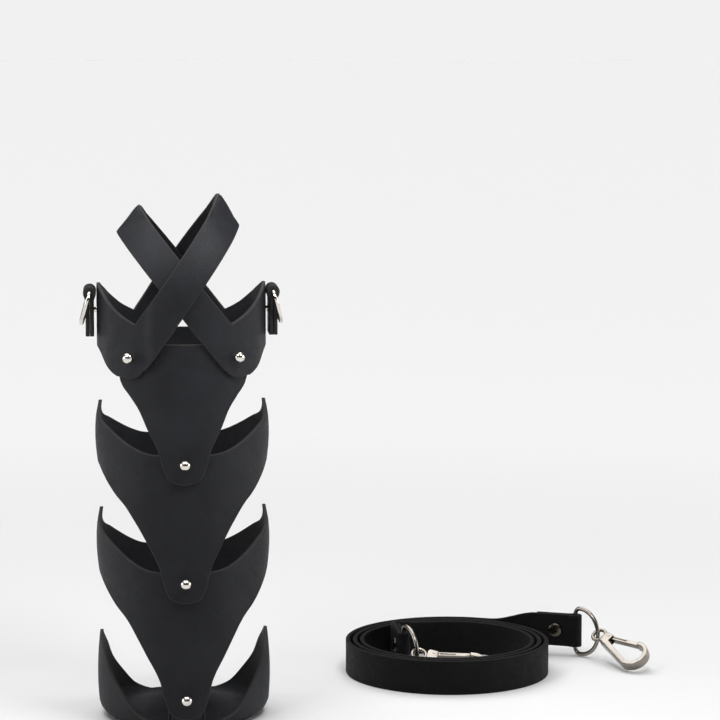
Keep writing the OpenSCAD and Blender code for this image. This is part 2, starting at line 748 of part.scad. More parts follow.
module hook_outline() {
    difference() {
        translate([hook_l, 0]) circle(r = bowl_r);
        translate([hook_l, 0]) circle(r = bowl_r - hook_t);
        translate([hook_l - 2 * bowl_r, -bowl_r - over]) square([2 * bowl_r, 2 * bowl_r + 2 * over]);
    }
    nose = [hook_l - nose_l, gate_tip_y];
    across = [-sin(gate_rise), cos(gate_rise)] * hook_t / 2;
    polygon([[hook_l, bowl_r], nose + across, nose - across, [hook_l, bowl_r - hook_t]]);
    polygon([[head_x, -head_half], [hook_l, -bowl_r], [hook_l, -bowl_r + hook_t],
        [head_x + head_l, -head_half + hook_t]]);
    translate([head_x, -head_half]) square([head_l, 2 * head_half]);
}

module hook_body() {
    slot_x = pin_x - knuckle_r - 2 * gate_gap;
    slot_w = gate_w + 2 * gate_gap;
    rotate_extrude() translate([eye_r, 0]) circle(d = eye_d);
    difference() {
        linear_extrude(hook_w, center = true) hook_outline();
        translate([slot_x, slot_floor, -slot_w / 2])
            cube([head_l + over, 2 * head_half + over, slot_w]);
        translate([pin_x, pin_y, 0])
            cylinder(d = pin_d + 2 * stud_fit, h = hook_w + 2 * over, center = true);
    }
}

module hook_gate() {
    groove_l = 0.42 * gate_l;
    groove_t = gate_t / 3;
    groove_deep = gate_w / 5;
    translate([pin_x, pin_y, 0])
        rotate([0, 0, gate_rise])
            difference() {
                linear_extrude(gate_w, center = true) {
                    circle(r = knuckle_r);
                    translate([0, -gate_t / 2]) square([gate_l, gate_t]);
                }
                cylinder(d = pin_d + 2 * stud_fit, h = gate_w + 2 * over, center = true);
                cylinder(r = knuckle_r + 2 * gate_gap, h = spring_w, center = true);
                for (s = [-1, 1])
                    translate([knuckle_r * 2, -groove_t / 2, s * gate_w / 2 - groove_deep])
                        cube([groove_l, groove_t, 2 * groove_deep]);
            }
}

module gate_pin() {
    translate([pin_x, pin_y, 0])
        cylinder(d = pin_d, h = hook_w + 2 * gate_gap, center = true);
}

module gate_spring() {
    leg_l = knuckle_r + gate_gap;
    translate([pin_x, pin_y, 0]) {
        for (k = [0:spring_turns - 1])
            translate([0, 0, (k - (spring_turns - 1) / 2) * spring_pitch])
                rotate_extrude() translate([spring_r, 0]) circle(d = spring_d, $fn = 12);
        translate([-leg_l, -spring_r, 0])
            rotate([0, side_az, 0])
                cylinder(d = spring_d, h = leg_l, $fn = 12);
    }
}

module outer_hook_body() {
    color(steel) at_outer_hook() hook_body();
}

module outer_hook_gate() {
    color(steel) at_outer_hook() hook_gate();
}

module outer_gate_pin() {
    color(steel) at_outer_hook() gate_pin();
}

module outer_gate_spring() {
    color(steel) at_outer_hook() gate_spring();
}

module inner_hook_body() {
    color(steel) at_inner_hook() hook_body();
}

module inner_hook_gate() {
    color(steel) at_inner_hook() hook_gate();
}

module inner_gate_pin() {
    color(steel) at_inner_hook() gate_pin();
}

module inner_gate_spring() {
    color(steel) at_inner_hook() gate_spring();
}

left_collar();
right_collar();
front_bib();
back_bib();
upper_hoop();
lower_hoop();
base_sling();
left_ring_tab();
right_ring_tab();
left_carry_ring();
right_carry_ring();
tab_rivets();
ball_studs();
stud_screws();
shoulder_strap();
strap_rivets();
outer_end_ring();
inner_end_ring();
outer_hook_body();
outer_hook_gate();
outer_gate_pin();
outer_gate_spring();
inner_hook_body();
inner_hook_gate();
inner_gate_pin();
inner_gate_spring();
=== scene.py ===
# Leather bottle carrier with its coiled shoulder strap, dressed for a product picture.
# Everything is worked out in millimetres, in the row's frame, and turned to metres by makeMesh.
import bisect
import math

import bmesh
import bpy
import numpy as np
from mathutils import Matrix, Vector, noise


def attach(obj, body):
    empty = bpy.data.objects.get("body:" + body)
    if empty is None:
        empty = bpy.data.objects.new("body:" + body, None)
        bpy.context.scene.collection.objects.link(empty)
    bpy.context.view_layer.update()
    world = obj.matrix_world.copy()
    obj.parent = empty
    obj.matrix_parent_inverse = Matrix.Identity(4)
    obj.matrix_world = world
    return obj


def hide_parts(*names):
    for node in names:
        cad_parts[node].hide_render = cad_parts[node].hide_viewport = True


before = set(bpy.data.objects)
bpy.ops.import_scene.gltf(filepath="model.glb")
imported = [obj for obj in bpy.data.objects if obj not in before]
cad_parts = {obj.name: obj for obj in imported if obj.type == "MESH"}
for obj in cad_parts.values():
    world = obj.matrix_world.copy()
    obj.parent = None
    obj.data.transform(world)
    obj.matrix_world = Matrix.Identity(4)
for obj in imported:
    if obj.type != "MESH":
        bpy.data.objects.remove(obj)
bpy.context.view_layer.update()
mm = 0.001


# Camera: a long lens above the collar and a little to the left, as in the photograph
cameraView = {
    "place": (-34.0, -1299.5, 327.4),
    "aim": (85.5, 0.0, 170.6),
    "focalLength": 136.8,
    "sensorWidth": 36.0,
    "clipStart": 0.01,
}


def addObject(name, data):
    obj = bpy.data.objects.new(name, data)
    bpy.context.collection.objects.link(obj)
    return obj


def aimAt(obj, place, aim):
    obj.location = Vector(place) * mm
    obj.rotation_euler = (Vector(aim) - Vector(place)).to_track_quat("-Z", "Y").to_euler()


def makeCamera():
    data = bpy.data.cameras.new("camera")
    data.lens = cameraView["focalLength"]
    data.sensor_width = cameraView["sensorWidth"]
    data.clip_start = cameraView["clipStart"]
    data.dof.use_dof = False
    camera = addObject("camera", data)
    aimAt(camera, cameraView["place"], cameraView["aim"])
    bpy.context.scene.camera = camera


makeCamera()
print("camera placed")


# Small helpers for curves and meshes
def easeInOut(t):
    t = min(1.0, max(0.0, t))
    return t * t * (3 - 2 * t)


def tableSlope(table, i):
    # flat at the first point
    if i == 0:
        return 0.0
    low = table[i - 1]
    high = table[min(i + 1, len(table) - 1)]
    return (high[1] - low[1]) / (high[0] - low[0])


def tableValue(table, x):
    # a smooth curve through the table's points
    i = min(max(bisect.bisect_right([p[0] for p in table], x) - 1, 0), len(table) - 2)
    a, b = table[i], table[i + 1]
    width = b[0] - a[0]
    t = min(1.0, max(0.0, (x - a[0]) / width))
    rise = b[1] - a[1]
    m0 = tableSlope(table, i) * width
    m1 = tableSlope(table, i + 1) * width
    return a[1] + t * (m0 + t * (3 * rise - 2 * m0 - m1 + t * (m0 + m1 - 2 * rise)))


def way(degrees):
    return np.array([math.cos(math.radians(degrees)), math.sin(math.radians(degrees)), 0.0])


def unit(v):
    return v / max(np.linalg.norm(v), 1e-9)


def arc(middle, radius, turns):
    return [(middle[0] + radius * way(t)[0], middle[1] + radius * way(t)[1]) for t in turns]


meshCare = {"merge": 0.000002, "degenerate": 0.000001, "sharpDegrees": 50}


def shadeSmooth(mesh):
    mesh.polygons.foreach_set("use_smooth", [True] * len(mesh.polygons))
    mesh.set_sharp_from_angle(angle=math.radians(meshCare["sharpDegrees"]))


def makeMesh(name, points, faces, rim=None):
    # rim is 1 on cut edges of leather, where a painted highlight makes its colour lighter
    mesh = bpy.data.meshes.new(name)
    mesh.from_pydata([tuple(c * mm for c in p) for p in points], [], faces)
    if rim is not None:
        mesh.attributes.new("rim", "FLOAT", "POINT").data.foreach_set("value", rim)
    work = bmesh.new()
    work.from_mesh(mesh)
    bmesh.ops.remove_doubles(work, verts=work.verts, dist=meshCare["merge"])
    bmesh.ops.dissolve_degenerate(work, dist=meshCare["degenerate"], edges=work.edges)
    bmesh.ops.recalc_face_normals(work, faces=work.faces)
    work.to_mesh(mesh)
    work.free()
    shadeSmooth(mesh)
    return addObject(name, mesh)


def loftFaces(count, size, closed):
    # quads between neighbouring rings of points, and two flat ends on an open loft
    faces = []
    for i in range(count if closed else count - 1):
        for j in range(size):
            k = (j + 1) % size
            n = (i + 1) % count
            faces.append((i * size + j, i * size + k, n * size + k, n * size + j))
    if not closed:
        faces.append(tuple(range(size)))
        faces.append(tuple((count - 1) * size + j for j in range(size - 1, -1, -1)))
    return faces


def sweep(name, line, widthDirection, section, closed=False):
    # a section of (across, along the width, share of painted edge highlight) carried along a line
    # of points
    line = np.array(line, float)
    wide = np.array(widthDirection, float)
    count = len(line)
    points = []
    for i, p in enumerate(line):
        before = line[(i - 1) % count] if closed else line[max(i - 1, 0)]
        after = line[(i + 1) % count] if closed else line[min(i + 1, count - 1)]
        across = unit(np.cross(after - before, wide))
        points += [p + a * across + b * wide for a, b, share in section]
    shares = [share for a, b, share in section] * count
    return makeMesh(name, points, loftFaces(count, len(section), closed), shares)


def bandSection(band, rows=4, inset=0.4):
    # a flat band with rounded edges; its narrow sides are the cut rim, which gets the painted edge
    # highlight
    edge = band["edgeRound"]
    half, tall = band["thickness"] / 2 - edge, band["width"] / 2 - edge
    corners = [(half, -tall, -90), (half, tall, 0), (-half, tall, 90), (-half, -tall, 180)]
    section = []
    for a, b, start in corners:
        for turn in (0, 22.5, 45, 67.5, 90):
            v = way(start + turn)
            section.append((a + edge * v[0], b + edge * v[1], min(1.0, 2 * abs(v[1]))))
        # the flat side that follows every second corner
        if start in (-90, 90):
            sign = -1 if start == 90 else 1
            reach = 2 * (tall - inset)
            section += [(sign * band["thickness"] / 2, b + sign * (inset + reach * k / rows), 0.0)
                        for k in range(rows + 1)]
    return section


def wireSection(diameter, count=20):
    turns = [360 * k / count for k in range(count)]
    return [(a, b, 0.0) for a, b in arc((0, 0), diameter / 2, turns)]


def lathePiece(name, profile, count):
    # a profile of (radius, height) turned about Z, from pole to pole
    points = []
    for radius, z in profile:
        points += [radius * way(360 * k / count) + np.array([0, 0, z]) for k in range(count)]
    return makeMesh(name, points, loftFaces(len(profile), count, False))


def dress(obj, material, body, slot, *nodes):
    obj.data.materials.clear()
    obj.data.materials.append(material)
    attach(obj, body)
    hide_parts(*nodes)


# Shader helpers
def newMaterial(name):
    material = bpy.data.materials.new(name)
    material.use_nodes = True
    return material, material.node_tree, material.node_tree.nodes["Principled BSDF"]


def setInputs(tree, node, inputs):
    # a socket is linked, and any other value is set
    for key, value in inputs.items():
        if isinstance(value, bpy.types.NodeSocket):
            tree.links.new(value, node.inputs[key])
        else:
            node.inputs[key].default_value = value


def addNode(tree, kind, settings, inputs):
    node = tree.nodes.new(kind)
    for key, value in settings.items():
        setattr(node, key, value)
    setInputs(tree, node, inputs)
    return node


def addMath(tree, operation, *values):
    node = addNode(tree, "ShaderNodeMath", {"operation": operation}, dict(enumerate(values)))
    return node.outputs["Value"]


def addNoise(tree, place, scale, detail, roughness=0.5, distortion=0.0, output="Fac"):
    return addNode(tree, "ShaderNodeTexNoise", {}, {
        "Vector": place, "Scale": scale, "Detail": detail, "Roughness": roughness,
        "Distortion": distortion}).outputs[output]


def addBump(tree, height, strength, distance):
    return addNode(tree, "ShaderNodeBump", {}, {
        "Height": height, "Strength": strength, "Distance": distance}).outputs["Normal"]


def addRamp(tree, source, positions, shades):
    # from one shade to another, each a colour or one grey value
    ramp = addNode(tree, "ShaderNodeValToRGB", {}, {"Fac": source})
    for stop, position, shade in zip(ramp.color_ramp.elements, positions, shades):
        stop.position = position
        stop.color = (*(shade if isinstance(shade, tuple) else (shade,) * 3), 1.0)
    return ramp.outputs["Color"]


def objectPattern(tree):
    return tree.nodes.new("ShaderNodeTexCoord").outputs["Object"]


# Leather: a dyed hide with fine pebble grain, creases, and cut edges lightened by a painted
# highlight
carrierHide = {
    "colour": (0.0064, 0.0068, 0.0088),
    "worn": (0.0135, 0.0142, 0.0178),
    # edge: the colour of the cut edges, lighter as a painted highlight where light glances off them
    "edge": (0.019, 0.0185, 0.018),
    "roughness": (0.50, 0.62),
    "pebble": 0.85,
    "grainDepth": 0.24,
    "gloss": 0.22,
}
strapHide = {
    "colour": (0.0034, 0.0034, 0.0040),
    "worn": (0.0065, 0.0065, 0.0074),
    # edge: the colour of the cut edges, lighter as a painted highlight where light glances off them
    "edge": (0.010, 0.0098, 0.0098),
    "roughness": (0.50, 0.66),
    "pebble": 1.15,
    "grainDepth": 0.85,
    "gloss": 0.12,
}
leatherGrain = {
    "bendScale": 220.0,
    "bendShare": 0.004,
    "groove": 0.16,
    "poresPerPebble": 3.2,
    "poreHeight": 0.35,
    "creasesPerPebble": 0.16,
    "creaseHeight": 1.1,
    "bumpHeight": 0.0004,
    "cloudScale": 42.0,
    "dyeRange": (0.32, 0.72),
}
noiseRange = (0.3, 0.7)


def leatherMaterial(name, hide):
    material, tree, shader = newMaterial(name)
    place = objectPattern(tree)
    grain = leatherGrain
    pebbleScale = 1 / (hide["pebble"] * mm)
    bend = addNoise(tree, place, grain["bendScale"], 3.0, 0.6, output="Color")
    bent = addNode(tree, "ShaderNodeMix", {"data_type": "VECTOR"},
                   {"Factor": grain["bendShare"], "A": place, "B": bend})
    pebbles = addNode(tree, "ShaderNodeTexVoronoi", {"feature": "DISTANCE_TO_EDGE"},
                      {"Vector": bent.outputs["Result"], "Scale": pebbleScale, "Randomness": 1.0})
    pores = addNoise(tree, place, grain["poresPerPebble"] * pebbleScale, 3.0)
    creases = addNoise(tree, place, grain["creasesPerPebble"] * pebbleScale, 5.0, 0.62, 1.4)
    clouds = addNoise(tree, place, grain["cloudScale"], 6.0, 0.6)
    height = addRamp(tree, pebbles.outputs["Distance"], (0.0, grain["groove"]), (0.0, 1.0))
    height = addMath(tree, "MULTIPLY_ADD", pores, grain["poreHeight"], height)
    height = addMath(tree, "MULTIPLY_ADD", creases, grain["creaseHeight"], height)
    dye = addRamp(tree, clouds, grain["dyeRange"], (hide["colour"], hide["worn"]))
    rim = addNode(tree, "ShaderNodeAttribute", {"attribute_name": "rim"}, {})
    # painted highlight: where the rim attribute is 1, the cut edges are mixed to the lighter edge
    # colour
    cut = addNode(tree, "ShaderNodeMix", {"data_type": "RGBA"},
                  {"Factor": rim.outputs["Fac"], "A": dye, "B": (*hide["edge"], 1.0)})
    setInputs(tree, shader, {
        "Base Color": cut.outputs["Result"],
        "Roughness": addRamp(tree, creases, noiseRange, hide["roughness"]),
        "Specular IOR Level": hide["gloss"],
        "Normal": addBump(tree, height, hide["grainDepth"], grain["bumpHeight"]),
    })
    return material


# Metals
polishedFinish = {
    "colour": (0.82, 0.78, 0.72),
    "roughness": (0.04, 0.08),
    "streaks": 900.0,
    "depth": 0.02,
}
satinFinish = {
    "colour": (0.31, 0.282, 0.25),
    "roughness": (0.20, 0.30),
    "streaks": 1500.0,
    "depth": 0.08,
}
antiqueFinish = {
    "colour": (0.105, 0.094, 0.074),
    "roughness": (0.20, 0.34),
    "streaks": 1100.0,
    "depth": 0.08,
}
metalWear = {"stainScale": 140.0, "stainShade": 0.82, "bumpHeight": 0.0002}


def metalMaterial(name, finish):
    material, tree, shader = newMaterial(name)
    place = objectPattern(tree)
    rubbed = addNoise(tree, place, finish["streaks"], 4.0, 0.65)
    stains = addNoise(tree, place, metalWear["stainScale"], 3.0)
    dark = tuple(metalWear["stainShade"] * c for c in finish["colour"])
    setInputs(tree, shader, {
        "Base Color": addRamp(tree, stains, noiseRange, (dark, finish["colour"])),
        "Metallic": 1.0,
        "Roughness": addRamp(tree, rubbed, noiseRange, finish["roughness"]),
        "Normal": addBump(tree, rubbed, finish["depth"], metalWear["bumpHeight"]),
    })
    return material


carrierLeather = leatherMaterial("carrierLeather", carrierHide)
strapLeather = leatherMaterial("strapLeather", strapHide)
polishedNickel = metalMaterial("polishedNickel", polishedFinish)
satinNickel = metalMaterial("satinNickel", satinFinish)
antiqueNickel = metalMaterial("antiqueNickel", antiqueFinish)
print("materials ready")


# The bottle's wall, which all the carrier's leather is shaped on
bottleWall = {
    "bodyRadius": 38.0,
    "neckRadius": 16.0,
    "shoulderHeight": 205.4,
    "shoulderRadius": 42.5,
    "neckTurnRadius": 24.0,
}
carrierSheet = {
    "thickness": 1.7,
    "slack": 0.5,
    "layerGap": 0.15,
    "tipLean": 0.4,
    "sideBow": 1.3,
    "bowFrom": 45.0,
    "bowTurn": 40.0,
    "riseStart": 14,
    "riseLength": 11,
    "leanLength": 5,
    "innerRound": 0.22,
    "outerRound": 0.5,
}
sheetLayer = carrierSheet["thickness"] + carrierSheet["layerGap"]
innerRadius = bottleWall["bodyRadius"] + carrierSheet["slack"]
stackedRadius = innerRadius + carrierSheet["thickness"] + sheetLayer
wallTurn = math.acos(1 - (bottleWall["bodyRadius"] - bottleWall["neckRadius"])
                     / (bottleWall["shoulderRadius"] + bottleWall["neckTurnRadius"]))
wallMiddle = bottleWall["shoulderHeight"] + bottleWall["shoulderRadius"] * math.sin(wallTurn)
neckHeight = wallMiddle + bottleWall["neckTurnRadius"] * math.sin(wallTurn)


def wallSlope(z):
    if z < bottleWall["shoulderHeight"]:
        return 0.0
    if z < wallMiddle:
        return math.asin((z - bottleWall["shoulderHeight"]) / bottleWall["shoulderRadius"])
    if z < neckHeight:
        return math.asin((neckHeight - z) / bottleWall["neckTurnRadius"])
    return 0.0


def wallRadius(z):
    turned = 1 - math.cos(wallSlope(z))
    if z < wallMiddle:
        return bottleWall["bodyRadius"] - bottleWall["shoulderRadius"] * turned
    return bottleWall["neckRadius"] + bottleWall["neckTurnRadius"] * turned


def outwards(azimuth, radius, z):
    # azimuths are counted in degrees from the front towards +X
    a = math.radians(azimuth)
    return np.array([radius * math.sin(a), -radius * math.cos(a), z])


def wallPoint(azimuth, z, lift):
    slope = wallSlope(z)
    return outwards(azimuth, wallRadius(z) + lift * math.cos(slope), z + lift * math.sin(slope))


def wallNormal(azimuth, z):
    slope = wallSlope(z)
    return outwards(azimuth, math.cos(slope), math.sin(slope))


def edgeTangents(edge, closed, apart=0.2):
    # direction along an edge, from the nearest points on both sides that lie apart
    count = len(edge)

    def neighbour(i, step):
        k = i
        for n in range(count):
            k = (k + step) % count if closed else min(max(k + step, 0), count - 1)
            if np.linalg.norm(edge[k] - edge[i]) > apart:
                break
        return edge[k]

    return [unit(neighbour(i, 1) - neighbour(i, -1)) for i in range(count)]


def rimProfile(sheet, support=0.3):
    # from the inner face round the cut edge to the outer face: (distance in, height, share of
    # painted edge highlight)
    inner, outer, top = sheet["innerRound"], sheet["outerRound"], sheet["thickness"]
    profile = [(inner + support, 0.0, 0.0)]
    for v in map(way, (0, 30, 60, 90)):
        profile.append((inner * (1 - v[1]), inner * (1 - v[0]), 1.0))
    for v, share in zip(map(way, (0, 30, 60, 90)), (1.0, 1.0, 1.0, 0.5)):
        profile.append((outer * (1 - v[0]), top - outer * (1 - v[1]), share))
    profile.append((outer + support, top, 0.0))
    return profile


sheetWave = {"turn": 0.03, "rise": 0.035, "seed": 3.1}
sheetRim = rimProfile(carrierSheet)
# the share of painted edge highlight on each point of the rim
edgeHighlightShares = [share for d, h, share in sheetRim]


def rimPoints(edge, normals, insides, closed):
    # the rim's profile on each point of an edge, laid towards the sheet's inside
    rows = []
    for p, normal, inside, tangent in zip(edge, normals, insides, edgeTangents(edge, closed)):
        across = unit(np.cross(normal, tangent))
        across = across if np.dot(across, inside - p) > 0 else -across
        rows.append([p + d * across + h * normal for d, h, share in sheetRim])
    return rows


def columnBetween(top, low, rows):
    # points of (azimuth, height) from an upper edge to a lower edge
    return [(top[0] + (low[0] - top[0]) * k / rows, top[1] + (low[1] - top[1]) * k / rows)
            for k in range(rows + 1)]


def leatherSheet(name, columns, lift, closed, ripple):
    # columns run from the upper edge to the lower edge, each a list of (azimuth, height)
    def sheetPoint(place, above=0.0):
        return wallPoint(*place, lift(*place) + above)

    upper, lower = (rimPoints([sheetPoint(c[end]) for c in columns],
                              [wallNormal(*c[end]) for c in columns],
                              [sheetPoint(c[inside]) for c in columns], closed)
                    for end, inside in ((0, 1), (-1, -2)))
    points = []
    for column, top, low in zip(columns, upper, lower):
        inner = []
        outer = []
        for azimuth, z in column[1:-1]:
            spot = Vector((azimuth * sheetWave["turn"], z * sheetWave["rise"], sheetWave["seed"]))
            wave = ripple * noise.noise(spot)
            inner.append(sheetPoint((azimuth, z)))
            outer.append(sheetPoint((azimuth, z), carrierSheet["thickness"] + wave))
        # the inner face upwards, over the upper edge, down the outer face, under the lower edge
        points += inner[::-1] + top + outer + low[::-1]
    size = len(points) // len(columns)
    bare = [0.0] * (len(columns[0]) - 2)
    # painted edge highlight: its share on the rim's points, 0 on the faces
    shares = (bare + edgeHighlightShares + bare + edgeHighlightShares[::-1]) * len(columns)
    return makeMesh(name, points, loftFaces(len(columns), size, closed), shares)


def dressLeather(obj, node):
    dress(obj, carrierLeather, "carrier", "carrier_leather", node)


# Hoops: pointed at the sides, with a tab that hangs down at the front and at the back
hoopCut = {
    "top": [(0, 1), (17.5, 1), (27, 0.966), (34, 0.902), (43.3, 0.781), (55.5, 0.6), (62.4, 0.501),
            (73.4, 0.371), (82.4, 0.18), (90, 0)],
    "low": [(0, 1), (4.8, 0.996), (9.9, 0.978), (13, 0.932), (15.1, 0.876), (16.4, 0.834),
            (17.9, 0.8), (21, 0.752), (28, 0.668), (35, 0.596), (44, 0.515), (53.6, 0.462),
            (64.5, 0.402), (73, 0.362), (81, 0.337), (90, 0.333)],
    "rows": 20,
    "ripple": 0.25,
}
upperHoopSize = {"tip": 153.0, "dip": 21.6, "height": 91.4}
lowerHoopSize = {"tip": 101.4, "dip": 25.4, "height": 95.2}
slingSize = {"tip": 41.5, "tongue": 26.8, "heel": 8.0}


def quarterAzimuths(sideStep=1.5, tabStep=0.6, tabTurn=24):
    # from the middle of a tab to a side, in finer steps near the tab
    near = list(np.arange(0, tabTurn, tabStep))
    return near + list(np.linspace(tabTurn, 90, int((90 - tabTurn) / sideStep) + 1))


def turnAzimuths():
    quarter = quarterAzimuths()
    half = quarter + [180 - a for a in quarter[-2::-1]]
    return half + [180 + a for a in half[1:-1]]


def fromTab(azimuth):
    a = abs(azimuth) % 180
    return 180 - a if a > 90 else a


def sheetRise(z, layerTop):
    # 1 where a sheet lies on the layer below, whose tip is at layerTop, and 0 above it
    thickness = carrierSheet["thickness"]
    start = layerTop + carrierSheet["riseStart"] * thickness
    return easeInOut((start - z) / (carrierSheet["riseLength"] * thickness))


def sideBow(azimuth, z, low, high):
    # leather stands off a little at the sides, between its lower edge and its tip
    along = min(1.0, max(0.0, (z - low) / (high - low)))
    aside = easeInOut((fromTab(azimuth) - carrierSheet["bowFrom"]) / carrierSheet["bowTurn"])
    return carrierSheet["sideBow"] * aside * math.sin(math.pi * along)


def hoopPiece(name, size, layerTop):
    leanLength = carrierSheet["leanLength"] * carrierSheet["thickness"]
    sideLow = size["tip"] - size["height"] * hoopCut["low"][-1][1]

    def lift(azimuth, z):
        lean = carrierSheet["tipLean"] * easeInOut((z - size["tip"] + leanLength) / leanLength)
        bow = sideBow(azimuth, z, sideLow, size["tip"])
        return carrierSheet["slack"] + sheetLayer * sheetRise(z, layerTop) - lean + bow

    columns = []
    for azimuth in turnAzimuths():
        a = fromTab(azimuth)
        top = size["tip"] - size["dip"] * tableValue(hoopCut["top"], a)
        low = size["tip"] - size["height"] * tableValue(hoopCut["low"], a)
        columns.append(columnBetween((azimuth, top), (azimuth, low), hoopCut["rows"]))
    return leatherSheet(name, columns, lift, True, hoopCut["ripple"])


for side, size, layerTop in (("upper", upperHoopSize, lowerHoopSize["tip"] - lowerHoopSize["dip"]),
                             ("lower", lowerHoopSize, slingSize["tongue"])):
    dressLeather(hoopPiece(side + "HoopLeather", size, layerTop), side + "_hoop")
print("hoops made")


# Bibs: a shield with a tab in front of the bottle, and one behind it
bibCut = {
    "top": 183.4,
    "height": 65.8,
    "lowShares": [(0, 1), (4.8, 0.992), (10.5, 0.962), (13.6, 0.897), (16.4, 0.793), (17.8, 0.741),
                  (24.6, 0.609), (31.7, 0.474), (38.9, 0.38), (46.4, 0.295), (48.6, 0.228)],
    "topShares": [(0, 0), (34, 0.013), (42.8, 0.05), (48.6, 0.127)],
    "halfTurn": 48.6,
    "columnStep": 1.0,
    "rows": 16,
    "ripple": 0.2,
}


def bibPiece(name, turn):
    cut = bibCut
    layerTop = upperHoopSize["tip"] - upperHoopSize["dip"]

    def lift(azimuth, z):
        return carrierSheet["slack"] + sheetLayer * sheetRise(z, layerTop)

    half = [a for a in quarterAzimuths(cut["columnStep"]) if a < cut["halfTurn"]]
    half.append(cut["halfTurn"])
    columns = []
    for azimuth in [-a for a in half[:0:-1]] + half:
        top = cut["top"] - cut["height"] * tableValue(cut["topShares"], abs(azimuth))
        low = cut["top"] - cut["height"] * tableValue(cut["lowShares"], abs(azimuth))
        columns.append(columnBetween((azimuth + turn, top), (azimuth + turn, low), cut["rows"]))
    return leatherSheet(name, columns, lift, False, cut["ripple"])


for side, turn in (("front", 0), ("back", 180)):
    dressLeather(bibPiece(side + "BibLeather", turn), side + "_bib")
print("bibs made")


# Base sling: a round base whose sides turn up into two wings and two tongues
slingCut = {
    "shares": [(23, 0.5), (29, 0.52), (38, 0.575), (49, 0.669), (61, 0.78), (69.5, 0.888),
               (80, 0.958), (90, 1)],
    "tongueHalf": 11.5,
    "tongueTurn": 4.0,
    "rows": 34,
    "middle": 3.0,
    "keepClear": 1.3,
    "clearEnd": 24.0,
    "clearTurn": 9.0,
}


def slingPiece(name):
    cut = slingCut
    thickness = carrierSheet["thickness"]
    heel = slingSize["heel"]
    flatRadius = innerRadius + thickness - heel
    heelLength = heel * math.pi / 2
    wingLength = flatRadius + heelLength + slingSize["tip"] - heel
    tongueLength = flatRadius + heelLength + slingSize["tongue"] - heel

    def turnAt(s):
        return min(math.pi / 2, max(0.0, (s - flatRadius) / heel))

    def pointAt(azimuth, s, lift=0.0):
        # s runs along the leather from the base's middle outwards
        turn = turnAt(s)
        z = (heel - (heel - thickness + lift) * math.cos(turn)
             + max(0.0, s - flatRadius - heelLength))
        bow = sideBow(azimuth, z, 0, slingSize["tip"])
        radius = min(s, flatRadius) + (heel - thickness + lift + bow) * math.sin(turn)
        return outwards(azimuth, radius, z)

    def normalAt(azimuth, s):
        turn = turnAt(s)
        return outwards(azimuth, math.sin(turn), -math.cos(turn))

    def edgeAt(a):
        tongue = tongueLength * (1 - easeInOut((a - cut["tongueHalf"]) / cut["tongueTurn"]))
        return max(tongue, wingLength * tableValue(cut["shares"], a), flatRadius)

    def rowAzimuth(azimuth):
        # the rows keep clear of the rim on a tongue's steep sides
        a = fromTab(azimuth)
        aside = (easeInOut(a / cut["tongueHalf"])
                 * easeInOut((cut["clearEnd"] - a) / cut["clearTurn"]))
        return azimuth + cut["keepClear"] * aside * (-1 if azimuth % 180 < 90 else 1)

    rows = cut["rows"]
    azimuths = turnAzimuths()
    edges = [edgeAt(fromTab(a)) for a in azimuths]
    rims = rimPoints([pointAt(a, s) for a, s in zip(azimuths, edges)],
                     [normalAt(a, s) for a, s in zip(azimuths, edges)],
                     [pointAt(a, s - 2) for a, s in zip(azimuths, edges)], True)
    points = []
    for azimuth, edge, rim in zip(azimuths, edges, rims):
        stations = [cut["middle"] + (edge - cut["middle"]) * k / rows for k in range(rows)]
        aside = rowAzimuth(azimuth)
        points += [pointAt(aside, s) for s in stations] + rim
        points += [pointAt(aside, s, thickness) for s in stations[::-1]]
    count = len(azimuths)
    size = len(points) // count
    faces = []
    for i in range(count):
        n = (i + 1) % count
        faces += [(i * size + j, i * size + j + 1, n * size + j + 1, n * size + j)
                  for j in range(size - 1)]
    faces.append(tuple(i * size for i in range(count)))
    faces.append(tuple(i * size + size - 1 for i in range(count - 1, -1, -1)))
    return makeMesh(name, points, faces, ([0.0] * rows + edgeHighlightShares + [0.0] * rows) * count)


dressLeather(slingPiece("baseSlingLeather"), "base_sling")
print("base sling made")


# Collars: a band round one side, and a neck strap over the other shoulder
collarCut = {
    "tip": 209.0,
    "lowSide": 179.0,
    "notchHeight": 192.4,
    "notchAzimuth": 32.7,
    "studAzimuth": 35.0,
    "studHeight": 177.0,
    "endDrop": 10.2,
    "footRadius": 9.2,
    "strapWidth": 16.3,
    "topShares": [(0, 1), (10, 0.92), (20, 0.78), (28, 0.645), (35, 0.51), (45.5, 0.24),
                  (57.3, 0)],
    "lowShares": [(0, 1), (9.6, 0.955), (15.6, 0.84), (23.6, 0.588), (33.5, 0.284),
                  (43.4, 0.042), (53.1, 0)],
    "earlyShare": 0.35,
    "fanFrom": -115,
    "pastStud": 13,
    "ontoBib": (-73, 22),
    "ontoStrap": (-27, 9),
    "offBib": (18, 50),
    "columns": {"band": 40, "fan": 26, "strap": 90},
    "rows": 12,
    "ripple": 0.15,
}
leftStrapCut = {"slope": 1.42, "crossHeight": 196.5, "crossLayers": 1}
rightStrapCut = {"slope": 1.26, "crossHeight": 194.6, "crossLayers": 0}


